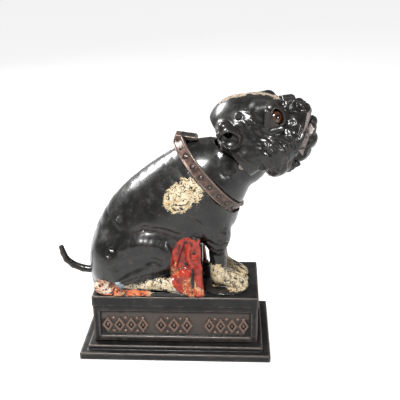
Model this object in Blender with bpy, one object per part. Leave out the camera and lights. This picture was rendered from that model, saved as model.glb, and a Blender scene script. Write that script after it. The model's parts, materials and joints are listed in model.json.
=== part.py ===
"""Cast iron mechanical bank: a seated bulldog, cast in two hollow halves, on a panelled money box.

Pulling the tail down lifts a push rod inside the dog. The rod turns a lever on the head's pivot pin, the head tips
back, and a wire tied to the neck holds the lower jaw down, so that the mouth opens and swallows the coin.

X runs from the tail to the nose, Y to the dog's left and Z up. All lengths are in millimetres until the last step,
where the finished objects are brought to metres. The origin is at the bottom centre of the whole.
"""

import math

import bmesh
import bpy
from mathutils import Matrix, Vector

MM = 0.001
GAP = 0.3                # air between two castings that meet
RUN = 0.25               # air round a moving shaft
WALL = 3.2               # thickness of the cast shells
CENTRE_X = 5.9           # the base's centre lies this far behind the middle of the whole length

# Money box and plinth
PLINTH = (147.0, 88.6, 6.0)      # length, width and edge height of the bottom flange
STEP = (135.0, 77.0, 9.5)        # the raised step that the box stands on: length, width, top
BOX = (128.0, 65.2)              # length and width of the box
BOX_Z = (STEP[2] + GAP, 49.0)    # bottom edge and deck height of the box
RECESS_Z = 4.5                   # height of the hollow under the plinth
DECK_T = 3.0
PANEL = (116.0, 12.5, 36.0, 1.6)  # sunk side panel: length, bottom, top, depth
CORNICE = (40.3, 0.5)             # underside of the band round the top of the box, and how far it stands out
DECK_HOLE = (-6.0, 15.0, 12.0)    # coin hole in the deck: rear, front, half width
BOSS_AT = (57.0, 25.8)            # corner bosses for the base screws
TRAP_R = 14.0                     # coin trap's hole
TRAP_RIVET = (-12.0, -17.0)       # where the trap cover turns
DECK_SCREWS = ((-44.0, 20.0), (38.0, 10.0))  # rear and front screw of each half of the dog

# Mechanism, in the plane of symmetry
TAIL_PIVOT = Vector((-50.0, 0.0, 60.5))
HEAD_PIVOT = Vector((50.0, 0.0, 152.0))
HEAD_TILT = math.radians(39.0)    # the head's own axis above the horizontal, at rest
HEAD_TRAVEL = math.radians(18.0)
TAIL_TRAVEL = math.radians(13.0)
TAIL_ARM = 22.0                   # tail pivot to push rod
TAIL_ARM_FALL = math.radians(14.0)
HEAD_LEVER = (2.7, -12.7)         # push rod's hole in the head lever, along and across the head
JAW_PIVOT = (23.0, -12.0)         # the same two directions
JAW_TRAVEL = math.radians(21.6)
JAW_HOOK = (24.0, -24.0)
NECK_HOOK = (1.0, -14.5)          # where the jaw's wire is tied to the neck

HEAD_PIN_R = 2.5
TAIL_PIN_R = 2.0
JAW_PIN_R = 1.8
RIVET_R = 1.8
SCREW_R = 1.75
WIRE_R = 1.1

# Paints and metals: colour, roughness, metallic
FINISHES = {
    "black_iron": ((0.030, 0.028, 0.027), 0.38, 0.75),
    "collar_bronze": ((0.115, 0.070, 0.060), 0.42, 0.80),
    "bare_steel": ((0.36, 0.35, 0.34), 0.35, 1.0),
    "amber_glass": ((0.30, 0.11, 0.03), 0.08, 0.0),
}


# ---------------------------------------------------------------- Blender helpers

def clear_scene():
    for obj in list(bpy.data.objects):
        bpy.data.objects.remove(obj)


def finish(name):
    """The material of that name, made once."""
    found = bpy.data.materials.get(name)
    if found:
        return found
    colour, roughness, metallic = FINISHES[name]
    made = bpy.data.materials.new(name)
    made.use_nodes = True
    shader = made.node_tree.nodes["Principled BSDF"]
    shader.inputs["Base Color"].default_value = (*colour, 1.0)
    shader.inputs["Roughness"].default_value = roughness
    shader.inputs["Metallic"].default_value = metallic
    made.diffuse_color = (*colour, 1.0)
    return made


def to_object(bm, name):
    """A bmesh made into an object, with its faces pointing out."""
    bmesh.ops.recalc_face_normals(bm, faces=bm.faces)
    mesh = bpy.data.meshes.new(name)
    bm.to_mesh(mesh)
    bm.free()
    obj = bpy.data.objects.new(name, mesh)
    bpy.context.scene.collection.objects.link(obj)
    return obj


def apply_modifiers(obj):
    """Replaces the object's mesh with what its modifiers make of it."""
    graph = bpy.context.evaluated_depsgraph_get()
    mesh = bpy.data.meshes.new_from_object(obj.evaluated_get(graph))
    obj.modifiers.clear()
    obj.data = mesh
    return obj


def boolean(obj, other, operation):
    """Cuts or joins with another object, which is used up."""
    modifier = obj.modifiers.new(operation.lower(), "BOOLEAN")
    modifier.operation = operation
    modifier.solver = "EXACT"
    modifier.object = other
    apply_modifiers(obj)
    bpy.data.objects.remove(other)
    return obj


def cut(obj, *others):
    for other in others:
        boolean(obj, other, "DIFFERENCE")
    return obj


def join(obj, *others):
    for other in others:
        boolean(obj, other, "UNION")
    return obj


def copy_of(obj, name="copy"):
    made = bpy.data.objects.new(name, obj.data.copy())
    made.matrix_world = obj.matrix_world
    bpy.context.scene.collection.objects.link(made)
    return made


def mirrored(obj, name):
    """The same casting for the dog's other side."""
    made = copy_of(obj, name)
    made.data.transform(Matrix.Scale(-1.0, 4, (0.0, 1.0, 0.0)))
    made.data.flip_normals()
    return made


# ---------------------------------------------------------------- simple solids

def block(x, y, z, name="block"):
    """A box from three (low, high) pairs."""
    bm = bmesh.new()
    size = (x[1] - x[0], y[1] - y[0], z[1] - z[0])
    middle = Vector(((x[0] + x[1]) / 2, (y[0] + y[1]) / 2, (z[0] + z[1]) / 2))
    bmesh.ops.create_cube(bm, size=1.0, matrix=Matrix.Translation(middle) @ Matrix.Diagonal((*size, 1.0)))
    return to_object(bm, name)


def centred(length, width, z, name="slab"):
    return block((-length / 2, length / 2), (-width / 2, width / 2), z, name)


def rod(a, b, radius, end_radius=None, sides=16, name="rod"):
    """A straight bar from a to b, tapered if it has a second radius."""
    a = Vector(a)
    b = Vector(b)
    run = b - a
    turn = run.to_track_quat("Z", "Y").to_matrix().to_4x4()
    bm = bmesh.new()
    bmesh.ops.create_cone(bm, cap_ends=True, segments=sides, radius1=radius,
                          radius2=radius if end_radius is None else end_radius, depth=run.length,
                          matrix=Matrix.Translation((a + b) / 2) @ turn)
    return to_object(bm, name)


def across(x, z, y, radius, sides=16, name="cross_bar"):
    """A bar along Y, centred on (x, z) and running over the (low, high) pair y."""
    return rod((x, y[0], z), (x, y[1], z), radius, sides=sides, name=name)


def upright(x, y, z, radius, sides=16, name="upright"):
    return rod((x, y, z[0]), (x, y, z[1]), radius, sides=sides, name=name)


def wire(points, radius, name, sides_level=0):
    """Round wire bent through the points, with closed ends."""
    curve = bpy.data.curves.new(name, "CURVE")
    curve.dimensions = "3D"
    curve.bevel_depth = radius
    curve.bevel_resolution = sides_level
    curve.use_fill_caps = True
    spline = curve.splines.new("POLY")
    spline.points.add(len(points) - 1)
    for point, place in zip(spline.points, points):
        point.co = (*place, 1.0)
    obj = bpy.data.objects.new(name, curve)
    bpy.context.scene.collection.objects.link(obj)
    graph = bpy.context.evaluated_depsgraph_get()
    mesh = bpy.data.meshes.new_from_object(obj.evaluated_get(graph))
    bpy.data.objects.remove(obj)
    bm = bmesh.new()
    bm.from_mesh(mesh)
    bmesh.ops.remove_doubles(bm, verts=bm.verts, dist=0.01)
    return to_object(bm, name)


def arc(centre, radius, start, stop, steps, y=0.0):
    """Points on an arc in the plane of symmetry. Angles are in degrees from +X towards +Z."""
    turn = (stop - start) / steps
    angles = [math.radians(start + turn * step) for step in range(steps + 1)]
    return [(centre[0] + radius * math.cos(a), y, centre[1] + radius * math.sin(a)) for a in angles]


# ---------------------------------------------------------------- modelled shapes

def ball(centre, radii, lean=0.0):
    """A lump of the dog: an egg with three radii, leaned back by that many degrees."""
    def add(bm):
        place = Matrix.Translation(centre) @ Matrix.Rotation(-math.radians(lean), 4, "Y")
        bmesh.ops.create_uvsphere(bm, u_segments=16, v_segments=10, radius=1.0,
                                  matrix=place @ Matrix.Diagonal((*radii, 1.0)))
    return add


def limb(a, b, radius_a, radius_b, flat=1.0):
    """A lump of the dog: a tapered bar with round ends, flattened sideways if flat is under 1."""
    def add(bm):
        part = bmesh.new()
        for end, radius in ((a, radius_a), (b, radius_b)):
            place = Matrix.Translation(end) @ Matrix.Diagonal((radius, radius * flat, radius, 1.0))
            bmesh.ops.create_uvsphere(part, u_segments=16, v_segments=10, radius=1.0, matrix=place)
        bmesh.ops.delete(part, geom=part.edges[:], context="EDGES_FACES")
        hull = bmesh.ops.convex_hull(part, input=part.verts)
        inside = [v for v in hull["geom_interior"] if isinstance(v, bmesh.types.BMVert)]
        bmesh.ops.delete(part, geom=inside, context="VERTS")
        whole = bpy.data.meshes.new("lump")
        part.to_mesh(whole)
        part.free()
        bm.from_mesh(whole)
    return add


def clay(lumps, voxel, faces, name="clay"):
    """Lumps pressed together into one closed skin of about that many faces."""
    bm = bmesh.new()
    for lump in lumps:
        lump(bm)
    obj = to_object(bm, name)
    remesh = obj.modifiers.new("union", "REMESH")
    remesh.mode = "VOXEL"
    remesh.voxel_size = voxel
    apply_modifiers(obj)
    smooth = obj.modifiers.new("soften", "SMOOTH")
    smooth.iterations = 2
    apply_modifiers(obj)
    thin = obj.modifiers.new("thin", "DECIMATE")
    thin.ratio = min(1.0, faces / (2.0 * len(obj.data.polygons)))
    return apply_modifiers(obj)


def in_head(obj, pitch=0.0):
    """Carries an object from the head's own frame, where X runs along the head, to where the head sits."""
    turn = Matrix.Rotation(-(HEAD_TILT + pitch), 4, "Y")
    obj.data.transform(Matrix.Translation(HEAD_PIVOT) @ turn)
    return obj


def turned(obj, point, angle):
    """Turns an object about a cross axis through (x, z). A positive angle lifts the nose."""
    centre = Vector((point[0], 0.0, point[1]))
    turn = Matrix.Rotation(-angle, 4, "Y")
    obj.data.transform(Matrix.Translation(centre) @ turn @ Matrix.Translation(-centre))
    return obj


def head_point(u, v, y=0.0):
    """Where a point of the head's own frame lies at rest."""
    return HEAD_PIVOT + Matrix.Rotation(-HEAD_TILT, 3, "Y") @ Vector((u, y, v))


def prism(outline, y, name="prism"):
    """A plate cut to an outline of (x, z) points and running over the (low, high) pair y."""
    bm = bmesh.new()
    near = [bm.verts.new((x, y[0], z)) for x, z in outline]
    far = [bm.verts.new((x, y[1], z)) for x, z in outline]
    bm.faces.new(near)
    bm.faces.new(far)
    for i in range(len(outline)):
        j = (i + 1) % len(outline)
        bm.faces.new((near[i], near[j], far[j], far[i]))
    return to_object(bm, name)


def plate(places, radii, y, name="plate", sides=20):
    """A flat lever: the band stretched round discs at (x, z) places."""
    bm = bmesh.new()
    for (x, z), radius in zip(places, radii):
        for depth in y:
            turn = Matrix.Translation((x, depth, z)) @ Matrix.Rotation(math.pi / 2, 4, "X")
            bmesh.ops.create_circle(bm, segments=sides, radius=radius, matrix=turn)
    hull = bmesh.ops.convex_hull(bm, input=bm.verts)
    inside = [v for v in hull["geom_interior"] if isinstance(v, bmesh.types.BMVert)]
    bmesh.ops.delete(bm, geom=inside, context="VERTS")
    bmesh.ops.dissolve_limit(bm, angle_limit=0.01, verts=bm.verts, edges=bm.edges)
    return to_object(bm, name)


def right_half(obj, name):
    """The casting on the dog's right, which stops just short of the joint."""
    obj.name = name
    return cut(obj, block((-200, 200), (-GAP / 2, 200), (-200, 400)))


def put_on(obj, name, material, origin=(0.0, 0.0, 0.0)):
    """Names a finished piece, gives it its metal and sets its origin, in millimetres."""
    obj.name = name
    obj.data.name = name
    obj.data.materials.clear()
    obj.data.materials.append(finish(material))
    obj.data.transform(Matrix.Translation(-Vector(origin)))
    obj.location = Vector(origin)
    obj.data.shade_flat()
    return obj


# ---------------------------------------------------------------- money box

def make_base_plate():
    """Bottom flange with the raised step, hollow underneath, with the coin trap's hole."""
    length, width, edge = PLINTH
    plinth = centred(length, width, (0.0, edge), "base_plate")
    join(plinth, centred(STEP[0], STEP[1], (edge - 1.0, STEP[2])))
    cut(plinth, centred(length - 14.0, width - 14.0, (-1.0, RECESS_Z)))
    cut(plinth, upright(0.0, 0.0, (RECESS_Z - 1.0, STEP[2] + 1.0), TRAP_R, sides=32))
    cut(plinth, upright(*TRAP_RIVET, (RECESS_Z - 1.0, STEP[2] - 1.5), RIVET_R + GAP))
    for x in (-BOSS_AT[0], BOSS_AT[0]):
        for y in (-BOSS_AT[1], BOSS_AT[1]):
            cut(plinth, upright(x, y, (RECESS_Z - 1.0, STEP[2] + 1.0), SCREW_R + GAP))
    return put_on(plinth, "base_plate", "black_iron")


def make_base_box():
    """Four panelled walls and the deck in one casting, open below, with corner bosses inside."""
    length, width = BOX
    low, high = BOX_Z
    band_low, band_out = CORNICE
    box = centred(length - 2 * band_out, width - 2 * band_out, (low, high - 1.0), "base_box")
    join(box, centred(length, width, (band_low, high)))
    cut(box, centred(length - 2 * (WALL + band_out), width - 2 * (WALL + band_out), (low - 1.0, high - DECK_T)))
    panel_length, panel_low, panel_high, depth = PANEL
    face = width / 2 - band_out
    for side in (-1, 1):
        inner, outer = sorted((side * (face - depth), side * (face + 1.0)))
        cut(box, block((-panel_length / 2, panel_length / 2), (inner, outer), (panel_low, panel_high)))
    for x in (-BOSS_AT[0], BOSS_AT[0]):
        for y in (-BOSS_AT[1], BOSS_AT[1]):
            corner = block(sorted((x - math.copysign(4.0, x), math.copysign(length / 2 - 2.0, x))),
                           sorted((y - math.copysign(4.0, y), math.copysign(width / 2 - 2.5, y))), (low, 30.0))
            join(box, corner)
            cut(box, upright(x, y, (low - 1.0, 24.0), SCREW_R + GAP))
    rear, front, half = DECK_HOLE
    cut(box, block((rear, front), (-half, half), (high - DECK_T - 1.0, high + 1.0)))
    for x, y in DECK_SCREWS:
        for side in (-1, 1):
            cut(box, upright(x, side * y, (high - DECK_T - 1.0, high + 1.0), SCREW_R + GAP))
    return put_on(box, "base_box", "black_iron")


def make_coin_trap():
    """The cover that swings over the hole in the floor, and the rivet it turns on."""
    x, y = TRAP_RIVET
    top = RECESS_Z - GAP
    under = top - 1.6
    bm = bmesh.new()
    for centre, radius in (((0.0, 0.0), TRAP_R + 3.0), (TRAP_RIVET, 5.0)):
        for z in (under, top):
            bmesh.ops.create_circle(bm, segments=32, radius=radius, matrix=Matrix.Translation((*centre, z)))
    hull = bmesh.ops.convex_hull(bm, input=bm.verts)
    inside = [v for v in hull["geom_interior"] if isinstance(v, bmesh.types.BMVert)]
    bmesh.ops.delete(bm, geom=inside, context="VERTS")
    bmesh.ops.dissolve_limit(bm, angle_limit=0.01, verts=bm.verts, edges=bm.edges)
    cover = to_object(bm, "trap_cover")
    cut(cover, upright(x, y, (under - 1.0, top + 1.0), RIVET_R + RUN))
    rivet = upright(x, y, (under - 0.5, STEP[2] - 2.0), RIVET_R)
    join(rivet, upright(x, y, (under - 1.5, under - GAP), 3.4))
    put_on(cover, "trap_cover", "black_iron", (x, y, top))
    put_on(rivet, "trap_rivet", "bare_steel")


def make_screw(name, x, y, head_top, shank_top, head_height=2.0):
    """A slotted screw driven upwards, with its head below."""
    screw = upright(x, y, (head_top - 0.5, shank_top), SCREW_R)
    head = upright(x, y, (head_top - head_height, head_top), 3.3)
    cut(head, block((x - 5, x + 5), (y - 0.4, y + 0.4), (head_top - head_height - 1, head_top - head_height + 0.9)))
    join(screw, head)
    return put_on(screw, name, "bare_steel")


def make_screws():
    for x, length_name in ((-BOSS_AT[0], "rear"), (BOSS_AT[0], "front")):
        for y, side_name in ((-BOSS_AT[1], "right"), (BOSS_AT[1], "left")):
            make_screw(f"base_screw_{length_name}_{side_name}", x, y, RECESS_Z - GAP, 22.0)
    for (x, y), length_name in zip(DECK_SCREWS, ("rear", "front")):
        for side, side_name in ((-1, "right"), (1, "left")):
            make_screw(f"deck_screw_{length_name}_{side_name}", x, side * y, BOX_Z[1] - DECK_T - GAP,
                       BOX_Z[1] + 7.5)


# ---------------------------------------------------------------- the dog's body

BODY_Z = BOX_Z[1] + GAP
COLLAR_AT = Vector((25.5, 0.0, 139.0))
COLLAR_LEAN = math.radians(40.5)      # the collar's own axis above the horizontal
COLLAR_SIZE = (35.5, 30.0)            # outer half height and half width
COLLAR_BAND = (9.0, 2.4)              # width and thickness
COLLAR_STEPS = 32
BODY_RIVETS = ((-40.0, 109.0), (34.0, 92.0))


def torso(shrink=0.0):
    """The barrel of the body up to the neck's end, or the hollow inside it."""
    def egg(x, z, r, side):
        return ball((x, 0.0, z), (r - shrink, side - shrink, r - shrink))

    def barrel(x, z, r, next_x, next_z, next_r, flat):
        return limb((x, 0, z), (next_x, 0, next_z), r - shrink, next_r - shrink, flat=flat)
    return [egg(-38, 56, 30.5, 31.5), barrel(-38, 74, 31, -20, 96, 37.5, 0.93), barrel(-20, 96, 37.5, 2, 116, 36.8, 0.9),
            barrel(2, 116, 36.8, 22, 132, 33, 0.88), egg(26, 110, 23, 24), egg(50, 152, 21.5, 19),
            limb((28, 0, 138), (46, 0, 150), 25.5 - shrink, 22.0 - shrink, flat=0.92)]


def right_limbs():
    """Haunch, hind foot, foreleg and the cloth between them, on the dog's right."""
    return [
        limb((-42, -15, 80), (-12, -26, 86), 24, 12),
        limb((-46, -16, 66), (-30, -24, 62), 18, 10),
        limb((-9, -29, 84), (-40, -29, 60), 9.5, 7),
        limb((-6, -24, 78), (-22, -25, 60), 10, 9),
        limb((-44, -28, 55), (6, -28, 55), 6.5, 5.5, flat=1.1),
        limb((6, -31, 53.5), (13, -31, 53), 4.0, 3.0),
        limb((6, -26.5, 54), (14, -26, 53.2), 4.2, 3.2),
        limb((24, -17, 116), (32, -16, 94), 14, 10, flat=0.9),
        limb((32, -16, 94), (34, -13, 75), 9.5, 5.6),
        limb((33, -12.5, 75), (41, -10.5, 58), 5.8, 7.5),
        limb((41, -10, 57), (50, -9.5, 54.5), 7.5, 5.5, flat=1.15),
        limb((5, -20, 92), (-3, -26, 50), 7, 7),
        limb((14, -21, 92), (11, -26.5, 50), 7, 6.5),
        limb((4, 0, 92), (4, 0, 48), 16.5, 16.5, flat=1.35),
    ]


def head_cap(radius, side):
    return to_object_from(ball(HEAD_PIVOT, (radius, side, radius)))


def to_object_from(lump, name="lump"):
    bm = bmesh.new()
    lump(bm)
    return to_object(bm, name)


def collar_ring(section, name):
    """An oval ring round the neck. The section lists (how far out, how far along) from the band's inner face."""
    high = COLLAR_SIZE[0] - COLLAR_BAND[1]
    wide = COLLAR_SIZE[1] - COLLAR_BAND[1]
    bm = bmesh.new()
    turn = Matrix.Translation(COLLAR_AT) @ Matrix.Rotation(math.pi / 2 - COLLAR_LEAN, 4, "Y")
    loops = []
    for step in range(COLLAR_STEPS):
        angle = 2 * math.pi * step / COLLAR_STEPS
        loops.append([bm.verts.new(turn @ Vector(((high + out) * math.cos(angle), (wide + out) * math.sin(angle), z)))
                      for out, z in section])
    for loop, following in zip(loops, loops[1:] + loops[:1]):
        for i in range(len(section)):
            j = (i + 1) % len(section)
            bm.faces.new((loop[i], loop[j], following[j], following[i]))
    return to_object(bm, name)


def neck_side_of_head_sweep():
    """Everything in front of the neck that the head passes through, from rest to fully back."""
    far = 90.0
    back = math.radians(112.0)
    outline = [(0.0, 0.0), (far * math.cos(back), far * math.sin(back)), (far, far), (far, -far), (-2.0, -far)]
    sweep = prism(outline, (-60, 60))
    return in_head(cut(sweep, to_object_from(ball((0, 0, 0), (22.1, 19.6, 22.1)))))


def bosses():
    """Solid iron left standing inside the body: for the rivets, the tail's pin and the deck screws."""
    made = [across(x, z, (-40, 0), 5.0) for x, z in BODY_RIVETS]
    made.append(across(TAIL_PIVOT.x, TAIL_PIVOT.z, (-40, -9.3), 5.5))
    x, y = DECK_SCREWS[0]
    made.append(block((x - 6, x + 6), (-40, -y + 5.5), (BODY_Z - 2, BODY_Z + 12)))
    return made


def make_body():
    shell = clay(torso() + right_limbs(), 1.9, 2500, "shell")
    cut(shell, block((-200, 200), (-200, 200), (-100, BODY_Z)))
    shell = right_half(shell, "body_right_half")
    hollow = clay(torso(WALL) + [limb((4, 0, 92), (4, 0, 40), 13.6, 13.6, flat=1.38)], 2.4, 800, "hollow")
    cut(hollow, block((-200, 200), (2.0, 200), (-200, 400)))
    cut(hollow, *bosses())
    cut(shell, hollow, neck_side_of_head_sweep())
    cut(shell, in_head(block((7.0, 60.0), (-40, 40), (-40, 40))))
    width, thick = COLLAR_BAND
    edge = width / 2 + 0.35
    ring = collar_ring([(-0.35, -edge), (thick + 1.1, -edge), (thick + 1.1, edge), (-0.35, edge)], "groove")
    cut(shell, ring)
    seats = [drill_for_rivet(shell, x, z) for x, z in BODY_RIVETS]
    cut(shell, across(HEAD_PIVOT.x, HEAD_PIVOT.z, (-60, 5), HEAD_PIN_R + RUN))
    cut(shell, across(TAIL_PIVOT.x, TAIL_PIVOT.z, (-16.3, 5), TAIL_PIN_R + GAP))
    cut(shell, block((-80, -56), (-3.4, 3.4), (40, 61.5)))
    for x, y in DECK_SCREWS:
        cut(shell, upright(x, -y, (40, BODY_Z + 9.0), SCREW_R + GAP))
    left = mirrored(shell, "body_left_half")
    x, z = NECK_HOOK
    slot = prism([(x - 1.6, z - 1.6), (x + 8.0, z - 5.6), (x + 12.0, z - 5.6), (x + 12.0, z + 1.6),
                  (x - 1.6, z + 1.6)], (5.7, 9.1))
    cut(left, in_head(slot), in_head(across(x, z, (7.5, 30), WIRE_R + GAP)))
    put_on(shell, "body_right_half", "black_iron")
    put_on(left, "body_left_half", "black_iron")
    return seats


def drill_for_rivet(shell, x, z):
    """Bores one half for a rivet, sinks a seat for its head and tells how far out the seat lies."""
    hit, place, _, _ = shell.ray_cast(Vector((x, -80.0, z)), Vector((0.0, 1.0, 0.0)))
    seat = -place.y - 2.4
    cut(shell, across(x, z, (-60, 5), RIVET_R + GAP), across(x, z, (-60, -seat), 3.6))
    return seat


def make_rivet(name, x, z, seat, in_heads_frame=False):
    """A rivet across both halves, hammered over at the ends."""
    rivet = across(x, z, (-seat - 0.6, seat + 0.6), RIVET_R)
    for side in (-1, 1):
        join(rivet, rod((x, side * (seat + GAP), z), (x, side * (seat + 2.0), z), 3.3, 2.4))
    if in_heads_frame:
        in_head(rivet)
    return put_on(rivet, name, "black_iron")


def make_collar():
    width, thick = COLLAR_BAND
    edge = width / 2
    rim = thick + 0.7
    ring = collar_ring([(0.0, -edge), (rim, -edge), (rim, 1.2 - edge), (thick, 1.6 - edge),
                        (thick, edge - 1.6), (rim, edge - 1.2), (rim, edge), (0.0, edge)], "collar")
    axis = Vector((math.cos(COLLAR_LEAN), 0.0, math.sin(COLLAR_LEAN)))
    up = Vector((-axis.z, 0.0, axis.x))
    for step in range(16):
        turn = math.radians(30 + 16 * (step // 2)) * (1 if step % 2 else -1)
        out = COLLAR_AT + up * COLLAR_SIZE[0] * math.cos(turn) + Vector((0, -1, 0)) * COLLAR_SIZE[1] * math.sin(turn)
        join(ring, rod(out - (out - COLLAR_AT).normalized() * 2.0, out + (out - COLLAR_AT).normalized() * 1.4,
                       2.2, 1.2, sides=8))
    top = COLLAR_AT + up * COLLAR_SIZE[0]
    flap = prism([(top.x - 3.0, top.z - 0.2), (top.x - 1.4, top.z + 3.6), (top.x + 14.0, top.z + 1.6),
                  (top.x + 15.0, top.z - 0.6)], (-6.0, 6.0))
    join(ring, flap)
    return put_on(ring, "collar", "collar_bronze")


# ---------------------------------------------------------------- tail and rods

def tail_arm_end():
    return (TAIL_PIVOT.x + TAIL_ARM * math.cos(TAIL_ARM_FALL), TAIL_PIVOT.z - TAIL_ARM * math.sin(TAIL_ARM_FALL))


def make_tail():
    """The tail is the handle outside and a flat lever inside."""
    hub = (TAIL_PIVOT.x, TAIL_PIVOT.z)
    end = tail_arm_end()
    lever = plate([hub, end], (5.0, 3.4), (-2.0, 2.0), "tail_lever")
    join(lever, plate([hub, (-62.0, 57.2)], (4.4, 2.7), (-2.0, 2.0)))
    path = [(-61.0, 57.6, 2.7), (-67.7, 55.9, 2.9), (-76.0, 57.0, 2.9), (-83.5, 60.0, 2.8), (-88.6, 64.5, 2.6),
            (-91.0, 70.0, 2.4), (-92.2, 75.2, 2.1)]
    lumps = [limb((x, 0, z), (next_x, 0, next_z), radius, next_radius)
             for (x, z, radius), (next_x, next_z, next_radius) in zip(path, path[1:])]
    join(lever, clay(lumps, 0.8, 300))
    cut(lever, across(*hub, (-5, 5), TAIL_PIN_R + RUN), across(*end, (-5, 5), WIRE_R + RUN))
    put_on(lever, "tail_lever", "black_iron", TAIL_PIVOT)
    put_on(across(*hub, (-16.0, 16.0), TAIL_PIN_R), "tail_pivot_pin", "bare_steel", TAIL_PIVOT)


def make_return_spring():
    """A coil round the tail's pin. One leg presses the lever down and the other stands on the deck."""
    x, z = TAIL_PIVOT.x, TAIL_PIVOT.z
    coil = 4.4
    turns = 4.5
    steps = int(turns * 12)
    points = [(x + 13.0, -1.5, z + 1.9), (x + 13.0, 3.3, z + 1.9)]
    for step in range(steps + 1):
        angle = math.radians(75.0) + 2 * math.pi * turns * step / steps
        points.append((x + coil * math.cos(angle), 3.3 + 4.6 * step / steps, z + coil * math.sin(angle)))
    points.append((x - 1.0, 7.9, BODY_Z + 1.2))
    spring = wire(points, 0.55, "return_spring")
    return put_on(spring, "return_spring", "bare_steel", TAIL_PIVOT)


def make_push_rod():
    foot = Vector((tail_arm_end()[0], 0, tail_arm_end()[1]))
    top = head_point(*HEAD_LEVER)
    run = (top - foot).normalized()
    side = Vector((0, -1, 0))
    points = [foot - side * 3.6, foot + side * 4.2, foot + side * 5.2 + run * 1.2]
    points += [top + side * 5.2 - run * 1.2, top + side * 4.2, top - side * 3.2]
    return put_on(wire(points, WIRE_R, "push_rod", 1), "push_rod", "bare_steel", foot)


def make_head_lever():
    """The short lever keyed on the middle of the head's pin."""
    lever = plate([(0.0, 0.0), HEAD_LEVER], (5.6, 3.4), (-1.5, 1.5))
    square = HEAD_PIN_R - 0.5 + GAP
    cut(lever, block((-square, square), (-5, 5), (-square, square)))
    cut(lever, across(*HEAD_LEVER, (-5, 5), WIRE_R + RUN))
    put_on(in_head(lever), "head_lever", "black_iron", HEAD_PIVOT)
    pin = across(0.0, 0.0, (-26.0, 26.0), HEAD_PIN_R, sides=20)
    flat = HEAD_PIN_R - 0.5
    for low, high in ((flat, 9.0), (-9.0, -flat)):
        cut(pin, block((low, high), (-2.4, 2.4), (-9, 9)), block((-9, 9), (-2.4, 2.4), (low, high)))
    put_on(in_head(pin), "head_pivot_pin", "bare_steel", HEAD_PIVOT)


def make_jaw_link():
    """The wire from the neck to the jaw. The neck holds it still while the head tips back."""
    neck = Vector((NECK_HOOK[0], 0, NECK_HOOK[1]))
    jaw = Vector((JAW_HOOK[0], 0, JAW_HOOK[1]))
    run = (jaw - neck).normalized()
    left = Vector((0, 1, 0))
    points = [neck + left * 13.0, neck + left * 8.4, neck + left * 7.4 + run * 1.2,
              jaw + left * 7.4 - run * 1.2, jaw + left * 8.4, jaw + left * 15.3]
    link = in_head(wire(points, WIRE_R, "jaw_link", 1))
    return put_on(link, "jaw_link", "bare_steel", head_point(*JAW_HOOK))


# ---------------------------------------------------------------- the dog's head

EYE = Vector((38.5, -18.6, 12.0))
EYE_R = 6.0
HEAD_RIVET = (20.0, 29.0)
LIP = [(72.0, -1.0), (58.5, -6.6), (49.0, -10.9), (39.7, -15.6), (33.0, -21.5)]


def head_lumps():
    """Skull, brow, muzzle, flews, cheek, jowl and ear of the dog's right, in the head's own frame."""
    return [
        ball((13, 0, 14), (26.5, 27, 28)),
        ball((29, 0, 9.5), (19, 25, 24)),
        ball((3, -21, 2), (13, 9.5, 13)),
        limb((33, -15, 21), (40, -17, 19), 8, 6.5),
        limb((40, -5, 13), (47, -4.5, 10), 10, 7),
        limb((49, -3.5, 8.5), (55, -3.5, -1), 6.5, 5.5, flat=1.1),
        ball((46, -12, -3), (9, 10, 10)),
        ball((38, -14, -10), (14, 12, 12)),
        ball((22, -19, -6), (16, 12, 15)),
        ball((20, -16, -20), (11, 9.5, 8)),
        limb((14, -9, -19), (29, -10, -21.5), 8, 6),
        limb((6, -16, 22), (7, -27, 25), 9, 6.2),
        limb((6, -22, 27), (9, -25, 31), 6.5, 4.5),
    ]


def mouth_room():
    """What the lower jaw needs, from shut to wide open, and the hollow of the mouth."""
    below = prism(LIP + [(33.0, -60.0), (72.0, -60.0)], (-60, 60))
    inner = prism([(60.0, -5.0), (40.0, -12.0), (38.0, -6.0), (8.0, -6.0), (2.0, -14.0), (2.0, -60.0), (60.0, -60.0)],
                  (-15.9, 15.9))
    roof = prism([(53.5, -3.0), (42.0, -3.5), (24.0, 2.0), (24.0, -20.0), (53.5, -20.0)], (-11.0, 11.0))
    return [below, inner, roof]


def make_head():
    shell = clay(head_lumps(), 1.7, 2000, "shell")
    cut(shell, block((-60, 0.0), (-60, 60), (-60, 60)))
    shell = right_half(shell, "head_right_half")
    cut(shell, to_object_from(ball((0, 0, 0), (22.7, 20.1, 22.7))))
    cut(shell, to_object_from(limb((6, 0, 1), (32, 0, 5), 20.5, 13.0, flat=0.85)))
    cut(shell, *mouth_room())
    cut(shell, to_object_from(ball(EYE, (EYE_R + GAP, EYE_R + GAP, EYE_R + GAP))))
    cut(shell, rod(EYE, (30.0, -6.0, 6.0), EYE_R - 0.7, sides=18))
    cut(shell, across(0.0, 0.0, (-26.3, 5), HEAD_PIN_R + GAP, sides=20))
    cut(shell, across(*JAW_PIVOT, (-20.3, 5), JAW_PIN_R + GAP))
    seat = drill_for_rivet(shell, *HEAD_RIVET)
    ear = Vector((6.4, -34.0, 23.8))
    cut(shell, rod(ear, (6.4, -25.0, 23.8), 3.6, 2.6))
    left = mirrored(shell, "head_left_half")
    for half, name in ((shell, "head_right_half"), (left, "head_left_half")):
        put_on(in_head(half), name, "black_iron", HEAD_PIVOT)
    make_rivet("head_rivet", *HEAD_RIVET, seat, in_heads_frame=True)
    for side, name in ((1, "eye_right"), (-1, "eye_left")):
        place = Vector((EYE.x, EYE.y * side, EYE.z))
        eye = to_object_from(ball(place, (EYE_R, EYE_R, EYE_R)))
        put_on(in_head(eye), name, "amber_glass")


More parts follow.
